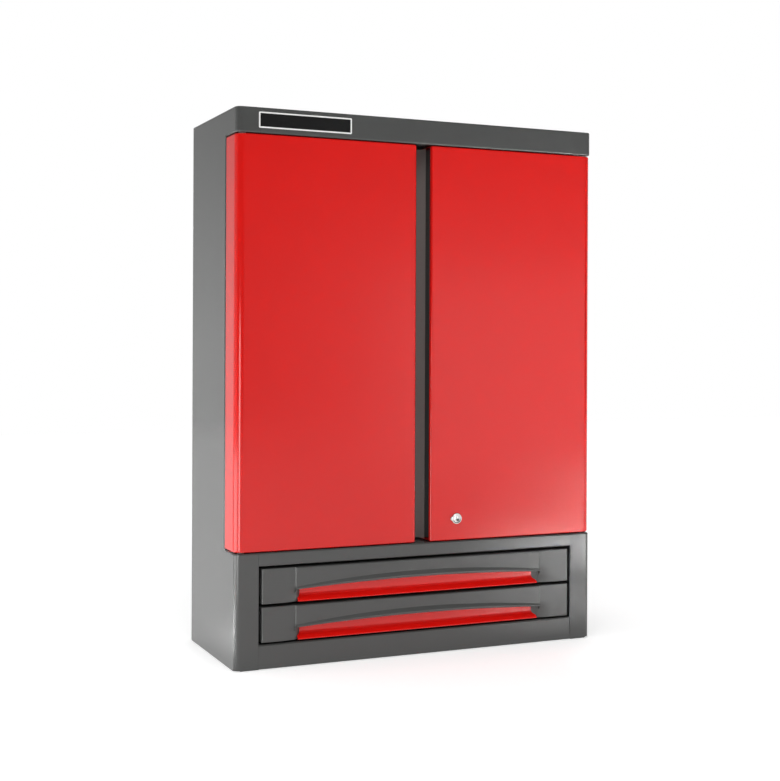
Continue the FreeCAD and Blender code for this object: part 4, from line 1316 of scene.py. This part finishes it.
@dataclass
class Drawers:
    """Two low drawers with moulded fronts, arched pulls and red scoops."""

    shop: Workshop
    depth: float = 24.0
    half: float = 316.0
    bottom: float = 0.8
    top_trim: float = 1.6
    edge_radius: float = 1.2
    end_radius: float = 3.0
    end_steps: int = 4
    end_run: float = 1.6
    least_step: float = 1.0
    panel_half: float = 253.0
    panel_ramp: float = 2.0
    panel_proud: float = 2.5
    panel_round: float = 1.2
    pocket_half: float = 247.0
    insert_half: float = 240.5
    wall: float = 0.3
    pocket_depth: float = 21.0
    shelf_setback: float = 4.0
    shelf: float = 1.6
    dish_depth: float = 6.0
    dish_width: float = 36.0
    dish_power: float = 2.2
    dish_top: float = 14.0
    crease: float = 33.0
    crease_land: float = 1.0
    lip_low_end: float = 23.5
    lip_low_rise: float = 8.3
    lip_top_end: float = 28.5
    lip_top_rise: float = 14.7
    bevel_slope: float = 0.75
    bevel_land: float = 0.3
    bevel_ease: float = 0.1
    bevel_share: float = 0.7
    nose: float = 2.0
    nose_share: float = 0.3
    end_proud: float = 4.0
    bow: float = 3.5
    back_face: float = 12.6
    bend_height: float = 12.0
    fit: float = 0.2
    floor_gap: float = 0.1
    columns: int = 24
    arch_steps: int = 16
    smooth_angle: float = 30.0
    # How the end blocks sink: shares of the dish's width, and of the way up to the crease.
    dish_shares: tuple[float, ...] = (1.0, 0.8, 0.64, 0.5, 0.38, 0.27, 0.17, 0.08)
    crease_shares: tuple[float, ...] = (0.0, 0.12, 0.26, 0.42, 0.58, 0.76, 1.0)
    # The insert's foot as depth and height above the moulding's underside, from back to front.
    foot: tuple[tuple[float, float], ...] = (
        (3.6, 0.2), (1.2, 0.2), (0.5, 0.5), (0.2, 1.1), (0.3, 1.8)
    )
    # The insert's bend, as depth and height from the corner of its slope and its upright back.
    bend: tuple[tuple[float, float], ...] = (
        (-6.6, -5.6), (-2.6, -3.0), (-1.3, -1.2), (-0.4, 0.6), (0.0, 3.0)
    )

    def edge_drop(self, x: float) -> float:
        """How far the front face falls back at a rounded end.

        Args:
            x: Place from the middle.

        Returns:
            Depth of the fall.
        """
        inside = self.half - abs(x)
        if inside >= self.end_radius:
            return 0.0
        return self.end_radius - math.sqrt(self.end_radius**2 - (self.end_radius - inside) ** 2)

    def arch(self, x: float, end: float, rise: float) -> float:
        """Follow an arch that is lowest, or least proud, where the raised panel ends.

        Args:
            x: Place from the middle.
            end: Value at the ends.
            rise: What the middle adds to it.

        Returns:
            The value at this place.
        """
        return end + rise * (1 - min(1.0, abs(x) / self.panel_half) ** 2)

    def dish(self, x: float) -> float:
        """How far an end block sinks towards the finger pocket.

        Args:
            x: Place from the middle.

        Returns:
            Depth of the dish, or of the sloping wall next to the insert.
        """
        away = abs(x) - self.pocket_half
        if away < 0:
            inward = min(1.0, -away / (self.pocket_half - self.insert_half - self.wall))
            return self.dish_depth + (self.back_face - self.dish_depth) * inward
        return self.dish_depth * max(0.0, 1 - away / self.dish_width) ** self.dish_power

    def section(self, x: float, height: float) -> list[tuple[float, float]]:
        """Closed outline of the moulding at one place along its length.

        Args:
            x: Place from the middle.
            height: Height of the moulding.

        Returns:
            Depth and height pairs; depth grows to the back.
        """
        drop = self.edge_drop(x)
        r = self.edge_radius
        lift = self.bottom
        inner = max(0.0, min(1.0, (self.panel_half - abs(x)) / self.panel_ramp))
        pocket = abs(x) <= self.insert_half
        sunk = drop + self.dish(x)
        foot = self.shelf_setback if pocket else sunk
        back = self.pocket_depth if pocket else sunk
        panel = drop - self.panel_proud * inner
        points = [
            (self.depth, lift),
            (foot + r, lift),
            (foot + r * ROUND, lift + r * ROUND),
            (foot, lift + r),
            (foot, lift + self.shelf),
            (back, lift + self.shelf),
        ]
        if inner >= 1.0:
            under = self.arch(x, self.lip_low_end, self.lip_low_rise)
            over = self.arch(x, self.lip_top_end, self.lip_top_rise)
            proud = -self.arch(x, self.end_proud, self.bow)
            nose = min(self.nose, self.nose_share * (over - under))
            ledge = panel - proud
            bevel = min(ledge / self.bevel_slope, self.bevel_share * (over - under))
            points += [
                (back, under),
                (proud + nose, under),
                (proud + nose * ROUND, under + nose * ROUND),
                (proud, under + nose),
                (proud, over - bevel - self.bevel_land),
                (proud + self.bevel_ease, over - bevel),
                (panel - self.bevel_ease, over - self.bevel_ease),
                (panel, over),
            ]
        else:
            span = self.crease - self.dish_top
            for share in self.crease_shares:
                left = 0.5 + 0.5 * math.cos(math.pi * share)
                points.append((drop + (sunk - drop) * left, self.dish_top + span * share))
            points.append((drop, self.crease + self.crease_land))
        top = height - self.top_trim
        round_top = r + self.panel_round * inner
        points += [
            (panel, top - round_top),
            (panel + round_top * ROUND, top - round_top * ROUND),
            (panel + round_top, top),
            (self.depth, top),
        ]
        return points

    def stations(self) -> list[float]:
        """Choose where along the length the moulding's outline is drawn.

        Returns:
            Places from left to right.
        """
        turn = quarter_turn(self.end_steps)
        ends = [self.half - self.end_radius * share for _, share in turn]
        ends.append(self.half - self.end_radius * self.end_run)
        blocks = [self.pocket_half + self.dish_width * share for share in self.dish_shares]
        blocks = [x for x in blocks if x > self.panel_half + self.least_step]
        blocks += [self.panel_half, self.panel_half - self.panel_ramp, self.pocket_half]
        blocks.append(self.insert_half + self.wall)
        arch = [self.insert_half * (1 - k / self.arch_steps) for k in range(self.arch_steps + 1)]
        right = ends + blocks + arch
        return [-x for x in right] + list(reversed(right[:-1]))

    def front(self, word: str, body: Body) -> None:
        """Build one moulded front.

        Args:
            word: Which drawer, as in the node names.
            body: Body of the drawer.
        """
        low, high = self.shop.box(f"{word}_drawer_front")
        base = self.shop.box(f"{word}_drawer_box")[0].y - self.depth
        height = high.z - low.z
        sections = []
        for x in self.stations():
            outline = self.section(x, height)
            sections.append([(x, base + depth, low.z + z) for depth, z in outline])
        piece = loft(f"{word}_moulded_front", sections)
        smooth(piece, self.smooth_angle)
        self.shop.hand_over(piece, body, Slot.MOULDING, [f"{word}_drawer_front"])

    def scoop_half(self, depth: float) -> float:
        """Find how far the insert reaches to each side, where it follows the block walls.

        Args:
            depth: Depth from the moulding's front face.

        Returns:
            Half length at this depth.
        """
        share = (self.back_face - depth) / (self.back_face - self.dish_depth)
        share = min(1.0, max(0.0, share))
        return self.insert_half + (self.pocket_half - self.insert_half) * share - self.fit

    def scoop(self, word: str, body: Body) -> None:
        """Build one red insert: a sloping foot, a bend and an upright back under the arch.

        Args:
            word: Which drawer, as in the node names.
            body: Body of the drawer.
        """
        low = self.shop.box(f"{word}_drawer_front")[0]
        base = self.shop.box(f"{word}_drawer_box")[0].y - self.depth
        floor = self.bottom + self.shelf + self.floor_gap
        back = self.pocket_depth - self.fit
        lower = [(back, floor), (self.back_face, floor), (self.shelf_setback - self.fit, floor)]
        lower += [(depth, self.bottom + z) for depth, z in self.foot]
        lower += [(self.back_face + depth, self.bend_height + z) for depth, z in self.bend]
        sections = []
        for k in range(self.columns + 1):
            along = 2 * k / self.columns - 1
            top = self.arch(self.insert_half * along, self.lip_low_end, self.lip_low_rise)
            outline = [*lower, (self.back_face, top - self.fit), (back, top - self.fit)]
            sections.append(
                [(self.scoop_half(depth) * along, base + depth, low.z + z) for depth, z in outline]
            )
        piece = loft(f"{word}_red_scoop", sections)
        smooth(piece, self.smooth_angle)
        self.shop.hand_over(piece, body, Slot.GRIP, [f"{word}_grip_insert"])

    def dress(self) -> None:
        """Dress both drawers."""
        for word, body in (("upper", Body.UPPER_DRAWER), ("lower", Body.LOWER_DRAWER)):
            self.front(word, body)
            self.scoop(word, body)
            self.shop.stand_in(f"{word}_drawer_box", f"{word}_drawer_tray", body, Slot.DRAWER)


@dataclass
class Slides:
    """Three-member drawer slides of rolled zinc-plated channel."""

    shop: Workshop

    def dress(self) -> None:
        """Smooth the rolled corners of every member."""
        members = {
            "upper_fixed_rails": Body.CARCASS,
            "lower_fixed_rails": Body.CARCASS,
            "upper_middle_rails": Body.UPPER_SLIDES,
            "lower_middle_rails": Body.LOWER_SLIDES,
            "upper_drawer_rails": Body.UPPER_DRAWER,
            "lower_drawer_rails": Body.LOWER_DRAWER,
        }
        for node, body in members.items():
            self.shop.stand_in(node, f"{node}_channel", body, Slot.ZINC)


@dataclass(frozen=True)
class SoftBox:
    """One rectangular lamp, sized in metres and watts, with the opening of its grid in degrees.

    A lamp for gloss alone shows in reflections and leaves the flat colours as they are.
    """

    name: str
    place: tuple[float, float, float]
    target: tuple[float, float, float]
    size: tuple[float, float]
    power: float
    spread: float = 180.0
    gloss_only: bool = False

    def hang(self) -> None:
        """Make the lamp and turn it to its target."""
        data = bpy.data.lights.new(self.name, "AREA")
        data.shape = "RECTANGLE"
        data.size, data.size_y = self.size
        data.energy = self.power
        data.spread = math.radians(self.spread)
        lamp = bpy.data.objects.new(self.name, data)
        lamp.visible_diffuse = not self.gloss_only
        way = Vector(self.target) - Vector(self.place)
        turn = way.to_track_quat("-Z", "Y").to_matrix().to_4x4()
        lamp.matrix_world = Matrix.Translation(self.place) @ turn
        bpy.context.scene.collection.objects.link(lamp)


# The pools are bright patches of floor outside the picture that mirror in the sides and doors.
LAMPS = (
    SoftBox("overhead_box", (-0.7, -1.6, 2.5), (0.0, 0.0, 0.5), (1.6, 1.3), 12.2),
    SoftBox("front_box", (1.85, -3.0, 0.45), (0.1, 0.0, 0.45), (1.3, 0.9), 1.6),
    SoftBox("left_strip_box", (-1.2, -0.12, 0.16), (0.0, -0.12, 0.16), (0.9, 0.3), 3.3),
    SoftBox("left_pool_box", (-0.78, 0.0, 0.8), (-0.78, 0.0, 0.0), (0.3, 0.3), 9.0, 36.0),
    SoftBox("right_pool_box", (1.05, -1.12, 1.2), (1.05, -1.12, 0.0), (0.36, 0.36), 13.0, 30.0),
    SoftBox("low_pool_box", (0.55, -0.5, 0.8), (0.55, -0.5, 0.0), (0.3, 0.3), 1.2, 34.0),
    SoftBox("far_pool_box", (1.95, -2.1, 1.3), (1.95, -2.1, 0.0), (0.4, 0.4), 18.0, 45.0),
    SoftBox(
        "corner_box", (-0.82, -0.73, 0.32), (-0.36, -0.14, 0.32), (0.2, 0.62), 3.2, gloss_only=True
    ),
)


@dataclass
class Studio:
    """Camera at the photograph's place, soft boxes, pale floor and white surroundings."""

    camera_place: tuple[float, float, float] = (-1.0793, -2.4186, 0.585)
    azimuth: float = 23.927
    roll: float = 0.239
    focal_pixels: float = 1345.34
    long_side: float = 781.0
    sensor: float = 36.0
    principal_row: float = 341.21
    middle_row: float = 390.5
    clip: tuple[float, float] = (0.05, 60.0)
    room_light: float = 0.69
    rear_level: float = 0.86
    rear_high: float = 0.24
    rear_top: float = 0.25
    front_left: float = 0.2
    front_right: float = 0.44
    front_low: float = 0.02
    front_high: float = 0.17
    right_start: float = 0.62
    right_end: float = 0.8
    ahead_start: float = 0.1
    ahead_end: float = -0.35
    darkest: float = 0.08
    floor_colour: str = "#f4f4f4"
    floor_lift: float = 0.4
    floor_half: float = 6000.0
    floor_drop: float = 0.5

    def camera(self) -> None:
        """Put the camera where the photograph was taken from."""
        data = bpy.data.cameras.new("camera")
        data.sensor_width = self.sensor
        data.lens = self.focal_pixels * self.sensor / self.long_side
        data.shift_y = (self.principal_row - self.middle_row) / self.long_side
        data.clip_start, data.clip_end = self.clip
        camera = bpy.data.objects.new("camera", data)
        a = math.radians(self.azimuth)
        forward = Vector((math.sin(a), math.cos(a), 0))
        turn = forward.to_track_quat("-Z", "Y").to_matrix().to_4x4()
        roll = Matrix.Rotation(math.radians(self.roll), 4, "Z")
        camera.matrix_world = Matrix.Translation(self.camera_place) @ turn @ roll
        bpy.context.scene.collection.objects.link(camera)
        bpy.context.scene.camera = camera

    def background_rays(self, tree: bpy.types.NodeTree) -> bpy.types.NodeSocket:
        """One for rays that show the background: from the camera, off gloss and through glass.

        Args:
            tree: Tree of the world or of the floor.

        Returns:
            The output to mix by.
        """
        path = add_node(tree, "ShaderNodeLightPath")
        shiny = add_node(
            tree,
            "ShaderNodeMath",
            links={0: path.outputs["Is Glossy Ray"], 1: path.outputs["Is Transmission Ray"]},
            operation="MAXIMUM",
        )
        every = add_node(
            tree,
            "ShaderNodeMath",
            links={0: path.outputs["Is Camera Ray"], 1: shiny},
            operation="MAXIMUM",
        )
        return every.outputs["Value"]

    def surroundings(self, tree: bpy.types.NodeTree) -> bpy.types.NodeSocket:
        """Brightness of the walls that gloss shows: white behind, a falling tone in front.

        Args:
            tree: The world's tree.

        Returns:
            The strength by direction.
        """
        way = add_node(tree, "ShaderNodeTexCoord").outputs["Object"]
        parts = add_node(tree, "ShaderNodeSeparateXYZ", links={"Vector": way})
        dark = self.darkest
        ramps = {
            "rear": ("Z", 0.0, self.rear_top, self.rear_level, self.rear_high),
            "across": ("X", self.front_left, self.front_right, dark, 1.0),
            "beyond": ("X", self.right_start, self.right_end, 1.0, dark),
            "upward": ("Z", self.front_low, self.front_high, 1.0, dark),
            "ahead": ("Y", self.ahead_start, self.ahead_end, 0.0, 1.0),
        }
        tones = {}
        for name, (axis, start, end, low, high) in ramps.items():
            ramp = add_node(
                tree,
                "ShaderNodeMapRange",
                {"From Min": start, "From Max": end, "To Min": low, "To Max": high},
                {"Value": parts.outputs[axis]},
                interpolation_type="SMOOTHSTEP" if name == "ahead" else "LINEAR",
            )
            tones[name] = ramp
        level = add_node(
            tree,
            "ShaderNodeMath",
            links={0: tones["across"], 1: tones["beyond"]},
            operation="MULTIPLY",
        )
        front = add_node(
            tree, "ShaderNodeMath", links={0: level, 1: tones["upward"]}, operation="MULTIPLY"
        )
        walls = add_node(
            tree, "ShaderNodeMix", links={"Factor": tones["ahead"], 2: tones["rear"], 3: front}
        )
        return walls.outputs[0]

    def world(self) -> None:
        """White surroundings and even light from all round."""
        world = bpy.data.worlds.new("white_studio")
        bpy.context.scene.world = world
        world.use_nodes = True
        tree = world.node_tree
        tree.nodes.clear()
        white = linear("#ffffff")
        light = add_node(
            tree, "ShaderNodeBackground", {"Color": white, "Strength": self.room_light}
        )
        path = add_node(tree, "ShaderNodeLightPath")
        strength = add_node(
            tree,
            "ShaderNodeMix",
            {3: 1.0},
            {"Factor": path.outputs["Is Camera Ray"], 2: self.surroundings(tree)},
        )
        seen = add_node(tree, "ShaderNodeBackground", {"Color": white}, {"Strength": strength})
        mix = add_node(
            tree, "ShaderNodeMixShader", links={0: self.background_rays(tree), 1: light, 2: seen}
        )
        add_node(tree, "ShaderNodeOutputWorld", links={"Surface": mix})

    def floor(self) -> None:
        """Lay a pale floor that keeps the object's shadow."""
        half, z = self.floor_half, -self.floor_drop
        corners = [(-half, -half, z), (half, -half, z), (half, half, z), (-half, half, z)]
        floor = make_piece("studio_floor", corners, [[0, 1, 2, 3]])
        material = bpy.data.materials.new("white_floor")
        material.use_nodes = True
        tree = material.node_tree
        tree.nodes.clear()
        white = linear("#ffffff")
        matt = add_node(tree, "ShaderNodeBsdfDiffuse", {"Color": linear(self.floor_colour)})
        glow = add_node(tree, "ShaderNodeEmission", {"Color": white, "Strength": self.floor_lift})
        dark = add_node(tree, "ShaderNodeEmission", {"Strength": 0.0})
        lift = add_node(
            tree, "ShaderNodeMixShader", links={0: self.background_rays(tree), 1: dark, 2: glow}
        )
        both = add_node(tree, "ShaderNodeAddShader", links={0: matt, 1: lift})
        add_node(tree, "ShaderNodeOutputMaterial", links={"Surface": both})
        floor.data.materials.append(material)

    def build(self) -> None:
        """Set up the whole studio."""
        self.camera()
        self.world()
        self.floor()
        for lamp in LAMPS:
            lamp.hang()
        bpy.context.scene.view_settings.view_transform = "Standard"


def main() -> None:
    """Load the frame, dress every sub-assembly and set up the studio."""
    logging.basicConfig(level=logging.INFO, format="%(message)s")
    for leftover in list(bpy.data.objects):
        bpy.data.objects.remove(leftover)
    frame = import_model()
    shop = Workshop(frame, Paintbox().mix())
    sub_assemblies = (
        SidePanels(shop),
        Carcass(shop),
        SlottedStrips(shop),
        Fasteners(shop),
        Doors(shop),
        Lock(shop),
        NamePlate(shop),
        Drawers(shop),
        Slides(shop),
    )
    for sub_assembly in sub_assemblies:
        sub_assembly.dress()
    Studio().build()


if __name__ == "__main__":
    main()
